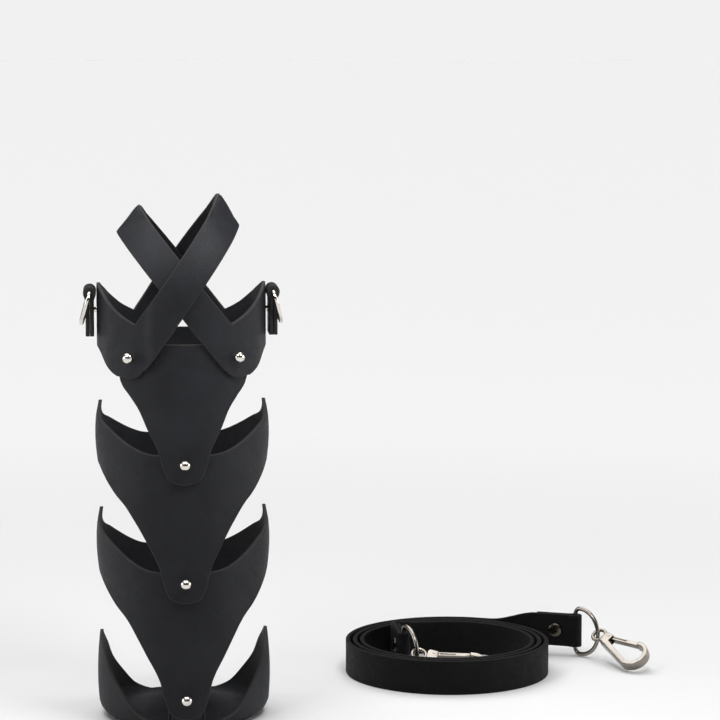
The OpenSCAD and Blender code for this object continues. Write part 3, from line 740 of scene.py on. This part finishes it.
def collarColumns(strapCut, lift):
    cut = collarCut
    slope, cross = strapCut["slope"], strapCut["crossHeight"]
    notch = (-cut["notchAzimuth"], cut["notchHeight"])
    foot = cut["studHeight"] - cut["endDrop"]
    bandHeight = cut["tip"] - cut["notchHeight"]
    run = math.hypot(1, slope)
    upperCross = cross + cut["strapWidth"] * run
    # the foot is an arc that touches the strap's lower edge and the foot's lowest height
    studAcross = stackedRadius * math.sin(math.radians(cut["studAzimuth"]))
    edgeGap = (cut["studHeight"] - cross + slope * studAcross) / run
    radius = cut["footRadius"]
    fanTo = math.degrees(math.atan(slope)) - 90
    middleHeight = foot + radius
    rise = way(fanTo)[1] * (middleHeight - cut["studHeight"])
    aside = (edgeGap - radius - rise) / way(fanTo)[0]
    middleAzimuth = -cut["studAzimuth"] + math.degrees(aside / stackedRadius)

    def edgeHeight(azimuth, lineHeight):
        # halves the span until the formed strap's edge meets its straight line seen from the front
        low, high = foot, neckHeight + 2 * bandHeight
        for step in range(30):
            z = (low + high) / 2
            p = wallPoint(azimuth, z, lift(azimuth, z) + carrierSheet["thickness"])
            if lineHeight + slope * p[0] > p[2]:
                low = z
            else:
                high = z
        return low

    def footPoint(turn):
        v = way(turn)
        return (middleAzimuth + math.degrees(radius / stackedRadius) * v[0],
                middleHeight + radius * v[1])

    pairs = []
    count = cut["columns"]["band"]
    for i in range(count + 1):
        a = -90 + (90 + notch[0]) * i / count
        b = -90 + (90 - cut["studAzimuth"] - cut["pastStud"]) * i / count
        top = notch[1] + bandHeight * tableValue(cut["topShares"], a + 90)
        low = foot + (cut["lowSide"] - foot) * tableValue(cut["lowShares"], b + 90)
        pairs.append(((a, top), (b, low)))
    count = cut["columns"]["fan"]
    for i in range(1, count + 1):
        pairs.append((notch, footPoint(cut["fanFrom"] + (fanTo - cut["fanFrom"]) * i / count)))
    start = footPoint(fanTo)[0]
    count = cut["columns"]["strap"]
    for i in range(1, count + 1):
        t = i / count
        share = t * (1 + cut["earlyShare"] * (1 - t))
        a = notch[0] + (90 - notch[0]) * share
        b = start + (90 - start) * share
        pairs.append(((a, edgeHeight(a, upperCross)), (b, edgeHeight(b, cross))))
    return [columnBetween(top, low, cut["rows"]) for top, low in pairs]


def onto(azimuth, startAndWidth):
    return easeInOut((azimuth - startAndWidth[0]) / startAndWidth[1])


def bridgedHollow(top, low, z):
    # how far a straight line between a column's two edges stands off the hollow wall
    share = (z - top[1]) / (low[1] - top[1])
    chord = wallRadius(top[1]) + (wallRadius(low[1]) - wallRadius(top[1])) * share
    return max(0.0, chord - wallRadius(z)) * math.cos(wallSlope(z))


def collarPiece(name, strapCut, mirrored):
    cut = collarCut
    crossing = (sheetLayer + carrierSheet["layerGap"]) * strapCut["crossLayers"]
    turn = -1 if mirrored else 1

    def lift(azimuth, z):
        a = azimuth if azimuth <= 90 else 180 - azimuth
        if a < cut["ontoStrap"][0]:
            return carrierSheet["slack"] + sheetLayer * onto(a, cut["ontoBib"])
        if a < 0:
            return carrierSheet["slack"] + sheetLayer + crossing * onto(a, cut["ontoStrap"])
        return carrierSheet["slack"] + (sheetLayer + crossing) * (1 - onto(a, cut["offBib"]))

    front = collarColumns(strapCut, lift)
    # the back half is the front half seen in a mirror: azimuth a becomes 180 - a
    back = [[(180 - a, z) for a, z in column] for column in front[-2:0:-1]]
    columns = [[(turn * a, z) for a, z in column] for column in front + back]
    hollows = {(a, z): bridgedHollow(column[0], column[-1], z)
               for column in columns for a, z in column}
    return leatherSheet(name, columns, lambda a, z: lift(turn * a, z) + hollows[(a, z)], True,
                        cut["ripple"])


for side, strapCut, mirrored in (("left", leftStrapCut, False), ("right", rightStrapCut, True)):
    dressLeather(collarPiece(side + "CollarLeather", strapCut, mirrored), side + "_collar")
print("collars made")


# Ring tabs and shoulder strap: bands of leather folded round the bars of the rings
ringWire = {"diameter": 2.2, "halfBar": 8.7, "corner": 3.4, "fit": 0.08, "hangDegrees": 15.0}
ringTab = {
    "thickness": 1.9,
    "width": 17.0,
    "barHeight": 204.8,
    "lowEnd": 184.2,
    "edgeRound": 0.4,
    "rivetHeight": 196.1,
}
strap = {
    "thickness": 2.2,
    "width": 17.0,
    "edgeRound": 0.45,
    "layerGap": 0.15,
    "centre": (138.0, 72.0, 0.0),
    "radius": 53.0,
    "pitch": 3.6,
    "turnDegrees": 1113.0,
    "exitDegrees": 67.0,
    "tail": 33.0,
    "lift": 5.0,
    "fold": 21.0,
    "rivetBack": 10.5,
    "innerRadius": 24.0,
    "innerDegrees": 85.0,
    "stepDegrees": 2.5,
    "wave": 0.22,
    "waveScale": 0.035,
    "waveDrift": 0.013,
    "calmPoints": 45,
    "calmTurn": 20,
}
foldSteps = {"swell": 10, "leaf": 6, "tail": 13}
endLie = {"outerRing": -50.0, "outerHook": -60.0, "innerRing": -70.0, "innerHook": -12.0}


def foldLine(side, radius, length):
    # in the bar's axes: out of the first leaf, round the bar, back to the second leaf's end
    steps = foldSteps["swell"]
    swell = [(-2 * radius * k / steps, side + (radius - side) * easeInOut(1 - k / steps))
             for k in range(steps + 1)]
    line = [(x, -y) for x, y in swell[::-1]] + arc((0, 0), radius, range(-75, 90, 15)) + swell
    rest = length - 2 * radius
    steps = foldSteps["leaf"]
    return line + [(-2 * radius - rest * k / steps, side) for k in range(1, steps + 1)]


ringX = (innerRadius + sheetLayer + ringWire["diameter"] / 2 + ringWire["fit"]
         + ringTab["thickness"])


def ringTabPiece(name, side):
    length = ringTab["barHeight"] - ringTab["lowEnd"]
    leaf = (ringTab["thickness"] + carrierSheet["layerGap"]) / 2
    loop = ringWire["diameter"] / 2 + ringWire["fit"] + ringTab["thickness"] / 2
    steps = foldSteps["leaf"]
    first = [(-length + (length - 2 * loop) * k / steps, -leaf) for k in range(steps)]
    line = [(side * (ringX + y), 0.0, ringTab["barHeight"] + x)
            for x, y in first + foldLine(leaf, loop, length)]
    return sweep(name, line, (0, 1, 0), bandSection(ringTab))


for side, sign in (("left", -1), ("right", 1)):
    dressLeather(ringTabPiece(side + "RingTabLeather", sign), side + "_ring_tab")
print("ring tabs made")

foldSide = (strap["thickness"] + strap["layerGap"]) / 2
foldRadius = ringWire["diameter"] / 2 + ringWire["fit"] + strap["thickness"] / 2
coilStart = strap["exitDegrees"] + strap["turnDegrees"]
tailHeading = strap["exitDegrees"] - 90
innerHeading = coilStart + strap["innerDegrees"] + 90


def coilPoint(azimuth):
    radius = strap["radius"] - strap["pitch"] * (azimuth - strap["exitDegrees"]) / 360
    return np.array(strap["centre"]) + radius * way(azimuth)


def barAt(end, heading):
    return end + strap["fold"] * way(heading) + foldSide * way(heading + 90)


innerCentre = coilPoint(coilStart) - strap["innerRadius"] * way(coilStart)
innerEnd = innerCentre + strap["innerRadius"] * way(coilStart + strap["innerDegrees"])
innerBar = barAt(innerEnd, innerHeading)
tailStart = coilPoint(strap["exitDegrees"])
outerBar = barAt(tailStart + strap["tail"] * way(tailHeading), tailHeading)
liftUp = np.array([0.0, 0.0, strap["lift"]])
barMiddle = liftUp + np.array([0.0, 0.0, strap["width"] / 2])


def strapLine():
    # from the inner fold round the coil to the outer fold
    def foldAt(bar, heading):
        return [bar + liftUp + x * way(heading) + y * way(heading + 90)
                for x, y in foldLine(foldSide, foldRadius, strap["fold"])]

    step = strap["stepDegrees"]
    leaf = strap["fold"] - 2 * foldRadius
    line = foldAt(innerBar, innerHeading)[::-1]
    for k in range(1, foldSteps["leaf"] + 1):
        back = 2 * foldRadius + leaf * k / foldSteps["leaf"]
        line.append(innerBar + liftUp - back * way(innerHeading)
                    - foldSide * way(innerHeading + 90))
    count = int(strap["innerDegrees"] / step)
    for k in range(count - 1, 0, -1):
        turn = strap["innerDegrees"] * k / count
        line.append(innerCentre + strap["innerRadius"] * way(coilStart + turn)
                    + liftUp * easeInOut(turn / strap["innerDegrees"]))
    count = int(strap["turnDegrees"] / step)
    line += [coilPoint(coilStart - strap["turnDegrees"] * k / count) for k in range(count + 1)]
    ramp = 5 * strap["lift"]
    for k in range(1, foldSteps["tail"]):
        along = (strap["tail"] + leaf) * k / foldSteps["tail"]
        line.append(tailStart + along * way(tailHeading)
                    + liftUp * easeInOut((along - strap["tail"] + ramp) / ramp))
    return line + foldAt(outerBar, tailHeading)


def strapPiece(name):
    # a slight wave everywhere but at the folded ends
    up = np.array([0.0, 0.0, strap["width"] / 2])
    line = strapLine()
    waved = []
    for i, p in enumerate(line):
        fromEnd = min(i, len(line) - 1 - i)
        calm = easeInOut((fromEnd - strap["calmPoints"]) / strap["calmTurn"])
        outward = unit((p - np.array(strap["centre"])) * (1, 1, 0))
        spot = Vector(p * strap["waveScale"]) + Vector((strap["waveDrift"] * i, 0, 0))
        waved.append(p + up + strap["wave"] * calm * noise.noise(spot) * outward)
    return sweep(name, waved, (0, 0, 1), bandSection(strap))


dress(strapPiece("shoulderStrapLeather"), strapLeather, "strap", "strap_leather", "shoulder_strap")
print("shoulder strap made")


# D-shaped rings: a straight bar in the fold, round corners and a bow
def ringPiece(name, bar, reach, along):
    corner, half = ringWire["corner"], ringWire["halfBar"]
    flat = [(0.0, -half + 2 * half * k / 8) for k in range(8)]
    flat += arc((corner, half), corner, range(180, 90, -10))
    flat += arc((corner, 0), corner + half, range(90, -90, -5))
    flat += arc((corner, -half), corner, range(270, 180, -10))
    reach, along = np.array(reach, float), np.array(along, float)
    line = [np.array(bar, float) + u * reach + v * along for u, v in flat]
    return sweep(name, line, np.cross(reach, along), wireSection(ringWire["diameter"]), True)


hang = math.radians(ringWire["hangDegrees"])
for side, sign in (("left", -1), ("right", 1)):
    ring = ringPiece(side + "CarryRing", (sign * ringX, 0, ringTab["barHeight"]),
                     (sign * math.sin(hang), 0, -math.cos(hang)), (0, 1, 0))
    dress(ring, polishedNickel, side + "_ring", "polished_nickel", side + "_carry_ring")
for end, bar in (("outer", outerBar), ("inner", innerBar)):
    ring = ringPiece(end + "EndRing", bar + barMiddle, way(endLie[end + "Ring"]), (0, 0, 1))
    dress(ring, satinNickel, end + "_ring", "satin_nickel", end + "_end_ring")
print("rings made")


# Ball studs and rivets: one turned piece, set on its places by Geometry Nodes
def piecesTree():
    tree = bpy.data.node_groups.new("setTurnedPieces", "GeometryNodeTree")
    sockets = {"Places": "Geometry", "Turned piece": "Object", "Finish": "Material",
               "Spin": "Float", "Size spread": "Float", "Seed": "Int"}
    for name, kind in sockets.items():
        tree.interface.new_socket(name, in_out="INPUT", socket_type="NodeSocket" + kind)
    tree.interface.new_socket("Pieces", in_out="OUTPUT", socket_type="NodeSocketGeometry")
    given = tree.nodes.new("NodeGroupInput").outputs
    outward = addNode(tree, "GeometryNodeInputNamedAttribute", {"data_type": "FLOAT_VECTOR"},
                      {"Name": "outward"})
    align = addNode(tree, "FunctionNodeAlignRotationToVector", {"axis": "Z"},
                    {"Vector": outward.outputs["Attribute"]})
    # of a random value's sockets, 2 and 3 are the least and the greatest, and output 1 is the value
    spin = addNode(tree, "FunctionNodeRandomValue", {"data_type": "FLOAT"},
                   {3: given["Spin"], "Seed": given["Seed"]})
    about = addNode(tree, "FunctionNodeAxisAngleToRotation", {},
                    {"Axis": (0.0, 0.0, 1.0), "Angle": spin.outputs[1]})
    turned = addNode(tree, "FunctionNodeRotateRotation", {"rotation_space": "LOCAL"},
                     {"Rotation": align.outputs["Rotation"],
                      "Rotate By": about.outputs["Rotation"]})
    greatest = addMath(tree, "ADD", 1.0, given["Size spread"])
    size = addNode(tree, "FunctionNodeRandomValue", {"data_type": "FLOAT"},
                   {2: 1.0, 3: greatest, "Seed": given["Seed"]})
    info = addNode(tree, "GeometryNodeObjectInfo", {"transform_space": "ORIGINAL"},
                   {"Object": given["Turned piece"]})
    put = addNode(tree, "GeometryNodeInstanceOnPoints", {},
                  {"Points": given["Places"], "Instance": info.outputs["Geometry"],
                   "Rotation": turned.outputs["Rotation"], "Scale": size.outputs[1]})
    real = addNode(tree, "GeometryNodeRealizeInstances", {}, {"Geometry": put.outputs["Instances"]})
    finish = addNode(tree, "GeometryNodeSetMaterial", {},
                     {"Geometry": real.outputs["Geometry"], "Material": given["Finish"]})
    addNode(tree, "NodeGroupOutput", {}, {"Pieces": finish.outputs["Geometry"]})
    return tree


turnedPieces = piecesTree()


def plainMesh(obj):
    # the evaluated object as a plain mesh, with no modifier left on it
    bpy.context.view_layer.update()
    made = obj.evaluated_get(bpy.context.evaluated_depsgraph_get())
    mesh = bpy.data.meshes.new_from_object(made)
    obj.modifiers.clear()
    old = obj.data
    obj.data = mesh
    bpy.data.meshes.remove(old)
    return obj


def setPieces(name, piece, places, directions, material):
    spots = bpy.data.meshes.new(name)
    spots.from_pydata([tuple(c * mm for c in p) for p in places], [], [])
    layer = spots.attributes.new("outward", "FLOAT_VECTOR", "POINT")
    layer.data.foreach_set("vector", [float(c) for v in directions for c in v])
    obj = addObject(name, spots)
    modifier = obj.modifiers.new("pieces", "NODES")
    modifier.node_group = turnedPieces
    names = {i.name: i.identifier for i in turnedPieces.interface.items_tree}
    inputs = {"Turned piece": piece, "Finish": material, "Spin": math.tau, "Size spread": 0.0,
              "Seed": 3}
    for key, value in inputs.items():
        modifier[names[key]] = value
    plainMesh(obj)
    bpy.data.objects.remove(piece)
    return obj


ballStud = {
    "ball": 5.2,
    "post": 3.0,
    "postDepth": 1.2,
    "postEdge": 0.02,
    "neck": 0.5,
    "waist": 0.12,
    "sink": 0.15,
    "tabRise": 10.0,
}
rivetHead = {
    "diameter": 7.2,
    "height": 1.3,
    "post": 2.6,
    "edge": 0.3,
    "lowEdge": 0.2,
    "chamfer": 0.1,
    "crownStart": 0.12,
}


def studPiece():
    # a ball on a short post, standing on the leather at height 0
    size = ballStud
    ball, post = size["ball"] / 2, size["post"] / 2
    middle = size["neck"] + ball - size["sink"]
    start = math.degrees(math.asin(post / ball))
    profile = [(0.0, -size["postDepth"]), (post, -size["postDepth"]), (post, -size["postEdge"])]
    neckTop = middle - ball * math.cos(math.radians(start))
    profile += [(post - size["waist"] * math.sin(math.pi * k / 4), neckTop * k / 4)
                for k in range(4)]
    profile += arc((0.0, middle), ball, np.linspace(start, 180, 22) - 90)
    return lathePiece("turnedStud", profile, 36)


def rivetPiece(grip):
    # its flat inner head lies below 0, and its domed cap sits at the grip
    size = rivetHead
    radius, low, edge, cut = size["diameter"] / 2, size["height"] / 2, size["edge"], size["chamfer"]
    post, crown = size["post"] / 2, size["height"] - edge
    profile = [(0.0, -low), (radius - size["lowEdge"], -low), (radius, size["lowEdge"] - low),
               (radius, -cut / 2), (radius - cut, 0.0), (post, 0.0), (post, grip),
               (radius - cut, grip), (radius, grip + cut), (radius, grip + edge)]
    profile += [(radius * math.cos(t), grip + edge + crown * math.sin(t))
                for t in np.linspace(size["crownStart"], math.pi / 2, 12)]
    return lathePiece("turnedRivet", profile, 40)


studSpots = [(turn + sign * collarCut["studAzimuth"], collarCut["studHeight"])
             for sign in (-1, 1) for turn in (0, 180)]
tabEnds = [bibCut["top"] - bibCut["height"], upperHoopSize["tip"] - upperHoopSize["height"],
           lowerHoopSize["tip"] - lowerHoopSize["height"]]
studSpots += [(turn, z + ballStud["tabRise"]) for turn in (0, 180) for z in tabEnds]
studOuts = [way(a - 90) for a, z in studSpots]
studPlaces = [stackedRadius * out + np.array([0, 0, z]) for out, (a, z) in zip(studOuts, studSpots)]
studs = setPieces("ballStudsTurned", studPiece(), studPlaces, studOuts, polishedNickel)
dress(studs, polishedNickel, "carrier", "polished_nickel", "ball_studs")

rivetSeat = (math.sqrt(innerRadius ** 2 - (rivetHead["diameter"] / 2) ** 2)
             - carrierSheet["layerGap"])
leafFace = ringX + ringTab["thickness"] + carrierSheet["layerGap"] / 2
tabRivets = setPieces("tabRivetsDomed", rivetPiece(leafFace - rivetSeat),
                      [(sign * rivetSeat, 0, ringTab["rivetHeight"]) for sign in (-1, 1)],
                      [(-1, 0, 0), (1, 0, 0)], polishedNickel)
dress(tabRivets, polishedNickel, "carrier", "polished_nickel", "tab_rivets")

strapFace = foldSide + strap["thickness"] / 2
endBars = [(outerBar, tailHeading), (innerBar, innerHeading)]
strapRivets = setPieces("strapRivetsDomed", rivetPiece(2 * strapFace),
                        [bar + barMiddle - strap["rivetBack"] * way(h) + strapFace * way(h + 90)
                         for bar, h in endBars],
                        [-way(h + 90) for bar, h in endBars], antiqueNickel)
dress(strapRivets, antiqueNickel, "strap", "antique_nickel", "strap_rivets")
print("studs and rivets set")


# Snap hooks: a bowl on a forked head, a round eye and a sprung gate
snapHook = {
    "length": 28.0,
    "bowl": 8.0,
    "thickness": 2.3,
    "width": 5.0,
    "eye": 3.5,
    "eyeWire": 1.9,
    "eyeGap": 0.35,
    "headCut": (0.8, 1.2),
    "edge": 0.38,
    "gateWidth": 3.0,
    "gateGap": 0.12,
    "gateEdge": 0.2,
    "grooveLength": 0.42,
    "spring": 0.45,
    "springRoom": 0.24,
    "roll": 35.0,
    "pitch": 12.0,
}
bevelCare = {"segments": 3, "degrees": 32}
# the head, the knuckle and the gate keep their proportion to the hook's thickness
hookT = snapHook["thickness"]
headX = snapHook["eye"] + snapHook["eyeWire"] / 4
headLength = 2.4 * hookT
headHalf = 1.4 * hookT
pinX, pinY = headX + 1.35 * hookT, 0.7 * hookT
knuckle = 0.74 * hookT
gateTipY = snapHook["bowl"] - 0.2 * hookT - hookT / 2
noseX = snapHook["length"] - 1.2 * hookT
gateRise = math.atan2(gateTipY - pinY, noseX - pinX)
gateLength = math.hypot(noseX - pinX, gateTipY - pinY) - snapHook["gateGap"]
gateThick = 0.95 * hookT


def prism(name, outline, halfWidth):
    count = len(outline)
    points = [(x, y, z) for z in (-halfWidth, halfWidth) for x, y in outline]
    faces = [tuple(range(count - 1, -1, -1)), tuple(range(count, 2 * count))]
    faces += [(i, (i + 1) % count, count + (i + 1) % count, count + i) for i in range(count)]
    return makeMesh(name, points, faces)


def cutAway(obj, tool):
    modifier = obj.modifiers.new("cut", "BOOLEAN")
    modifier.operation = "DIFFERENCE"
    modifier.solver = "EXACT"
    modifier.object = tool


def block(name, low, high, halfWidth):
    corners = [low, (high[0], low[1]), high, (low[0], high[1])]
    return prism(name, corners, halfWidth)


def hookMatrix(bar, ringHeading, hookHeading):
    # the eye seats on the far end of the ring's bow
    eyeShift = (snapHook["eye"] - snapHook["eyeWire"] / 2 - ringWire["diameter"] / 2
                - snapHook["eyeGap"])
    bowReach = 2 * ringWire["corner"] + ringWire["halfBar"]
    eye = bar + barMiddle + bowReach * way(ringHeading) + eyeShift * way(hookHeading)
    return (Matrix.Translation(Vector(eye) * mm)
            @ Matrix.Rotation(math.radians(hookHeading), 4, "Z")
            @ Matrix.Rotation(math.radians(snapHook["pitch"]), 4, "Y")
            @ Matrix.Rotation(math.radians(snapHook["roll"]), 4, "X"))


def finishHookPart(obj, place, bevelWidth, *tools):
    bevel = obj.modifiers.new("edges", "BEVEL")
    bevel.width = bevelWidth * mm
    bevel.segments = bevelCare["segments"]
    bevel.limit_method = "ANGLE"
    bevel.angle_limit = math.radians(bevelCare["degrees"])
    plainMesh(obj)
    for tool in tools:
        bpy.data.objects.remove(tool)
    obj.data.transform(place)
    shadeSmooth(obj.data)
    return obj


def hookBodyPiece(name, place):
    size = snapHook
    length, bowl, gap = size["length"], size["bowl"], size["gateGap"]
    across = hookT / 2 * np.array([-math.sin(gateRise), math.cos(gateRise)])
    nose = np.array([noseX, gateTipY])
    headEnd = headX + headLength
    outline = [(headX, -headHalf)] + arc((length, 0), bowl, range(-90, 91, 6))
    outline += [tuple(nose + across), tuple(nose - across)]
    outline += arc((length, 0), bowl - hookT, range(90, -91, -6))
    outline += [(headEnd, -headHalf + hookT), (headEnd, headHalf),
                (headX + size["headCut"][0], headHalf), (headX, headHalf - size["headCut"][1])]
    body = prism(name, outline, size["width"] / 2)
    slot = block("slotTool", (pinX - knuckle - 2 * gap, pinY - knuckle - 2 * gap),
                 (headX + 2 * headLength, 2 * headHalf), size["gateWidth"] / 2 + gap)
    cutAway(body, slot)
    finishHookPart(body, place, size["edge"], slot)
    wire = [size["eye"] * way(t) for t in range(0, 360, 8)]
    eye = sweep("eyeWire", wire, (0, 0, 1), wireSection(size["eyeWire"]), True)
    eye.data.transform(place)
    join = bmesh.new()
    join.from_mesh(body.data)
    join.from_mesh(eye.data)
    join.to_mesh(body.data)
    join.free()
    bpy.data.objects.remove(eye)
    return body


def hookGatePiece(name, place):
    size = snapHook
    half = gateThick / 2
    start = int(math.degrees(math.asin(half / knuckle)))
    outline = arc((0, 0), knuckle, range(start, 361 - start, 12))
    outline += [(gateLength, -half), (gateLength, half)]
    gate = prism(name, outline[::-1], size["gateWidth"] / 2)
    # room for the spring in the knuckle, and a groove in either face
    coil = 2.8 * size["spring"] + 2 * size["gateGap"]
    room = arc((0, 0), knuckle + size["springRoom"], range(0, 360, 15))
    tools = [prism("coilTool", room, coil / 2)]
    grooveStart = 2 * knuckle
    grooveEnd = grooveStart + size["grooveLength"] * gateLength
    for side in (-1, 1):
        tool = block("grooveTool", (grooveStart, -half / 3), (grooveEnd, half / 3),
                     size["gateWidth"] / 5)
        tool.data.transform(Matrix.Translation((0, 0, side * size["gateWidth"] / 2 * mm)))
        tools.append(tool)
    for tool in tools:
        cutAway(gate, tool)
    swing = Matrix.Translation(Vector((pinX, pinY, 0)) * mm) @ Matrix.Rotation(gateRise, 4, "Z")
    return finishHookPart(gate, place @ swing, size["gateEdge"], *tools)


for end, bar in (("outer", outerBar), ("inner", innerBar)):
    place = hookMatrix(bar, endLie[end + "Ring"], endLie[end + "Hook"])
    dress(hookBodyPiece(end + "HookBody", place), satinNickel, end + "_hook", "satin_nickel",
          end + "_hook_body")
    dress(hookGatePiece(end + "HookGate", place), satinNickel, end + "_gate", "satin_nickel",
          end + "_hook_gate")
print("snap hooks made")


# Screws, pins and springs keep the frame's own shapes
for name in ("stud_screws", "outer_gate_pin", "inner_gate_pin", "outer_gate_spring",
             "inner_gate_spring"):
    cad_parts[name].data.materials.clear()
    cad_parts[name].data.materials.append(satinNickel)


# Floor and soft studio light; dark walls give the metal its contrast
studio = {
    # the floor's colour near the middle is a painted shade, darker where the lamps light the floor
    # most
    "floorNearPaintedShade": 0.685,
    "floorFar": 0.845,
    "floorBlend": (0.15, 0.95),
    "floorSize": 60000.0,
    "floorRoughness": 0.9,
    "floorGloss": 0.1,
    "backdrop": 0.88,
    "roomDark": 0.03,
    "ceiling": (0.40, 0.60),
    "ceilingBright": 0.32,
    "sideLight": (0.84, 0.95),
    "sideStrength": 3.0,
    "sunStrength": 2.3,
    "sunSoftness": 60.0,
    "sunPlace": (-150, 450, 1400),
}
lamps = {"aim": (0, -30, 235), "size": 130}
keyLights = [
    {"name": "leftKey", "place": (-140, -180, 420), "power": 0.54},
    {"name": "rightKey", "place": (160, -180, 430), "power": 0.84},
]


def makeFloor():
    half = studio["floorSize"] / 2
    corners = [(-half, -half, 0), (half, -half, 0), (half, half, 0), (-half, half, 0)]
    floor = makeMesh("floor", corners, [(0, 1, 2, 3)])
    material, tree, shader = newMaterial("paleFloor")
    # painted shade: the floor's colour is a little darker under the lamps, so that the lit floor
    # looks even
    away = addNode(tree, "ShaderNodeVectorMath", {"operation": "LENGTH"}, {0: objectPattern(tree)})
    paperWithPaintedShade = addRamp(tree, away.outputs["Value"], studio["floorBlend"],
                    (studio["floorNearPaintedShade"], studio["floorFar"]))
    setInputs(tree, shader, {"Base Color": paperWithPaintedShade, "Roughness": studio["floorRoughness"],
                             "Specular IOR Level": studio["floorGloss"]})
    floor.data.materials.append(material)


def makeRoom():
    # a bright ceiling and a strip at either side light the part; the camera sees an even white
    world = bpy.data.worlds.new("studioWorld")
    world.use_nodes = True
    room = world.node_tree
    generated = room.nodes.new("ShaderNodeTexCoord").outputs["Generated"]
    towards = addNode(room, "ShaderNodeSeparateXYZ", {}, {"Vector": generated}).outputs
    ceiling = addRamp(room, towards["Z"], studio["ceiling"],
                      (studio["roomDark"], studio["ceilingBright"]))
    strip = addRamp(room, addMath(room, "ABSOLUTE", towards["X"]), studio["sideLight"], (0.0, 1.0))
    sides = addMath(room, "MULTIPLY", strip, studio["sideStrength"])
    seen = room.nodes.new("ShaderNodeLightPath").outputs["Is Camera Ray"]
    shade = addNode(room, "ShaderNodeMix", {"data_type": "FLOAT"},
                    {"Factor": seen, "A": addMath(room, "ADD", ceiling, sides),
                     "B": studio["backdrop"]})
    setInputs(room, room.nodes["Background"], {"Color": shade.outputs["Result"]})
    bpy.context.scene.world = world


def makeLights():
    sun = bpy.data.lights.new("softSun", "SUN")
    sun.energy = studio["sunStrength"]
    sun.angle = math.radians(studio["sunSoftness"])
    aimAt(addObject("softSun", sun), studio["sunPlace"], (0, 0, 0))
    for light in keyLights:
        lamp = bpy.data.lights.new(light["name"], "AREA")
        lamp.shape = "SQUARE"
        lamp.size = lamps["size"] * mm
        lamp.energy = light["power"]
        aimAt(addObject(light["name"], lamp), light["place"], lamps["aim"])


makeFloor()
makeRoom()
makeLights()
bpy.context.scene.view_settings.view_transform = "Standard"
print("studio lit")
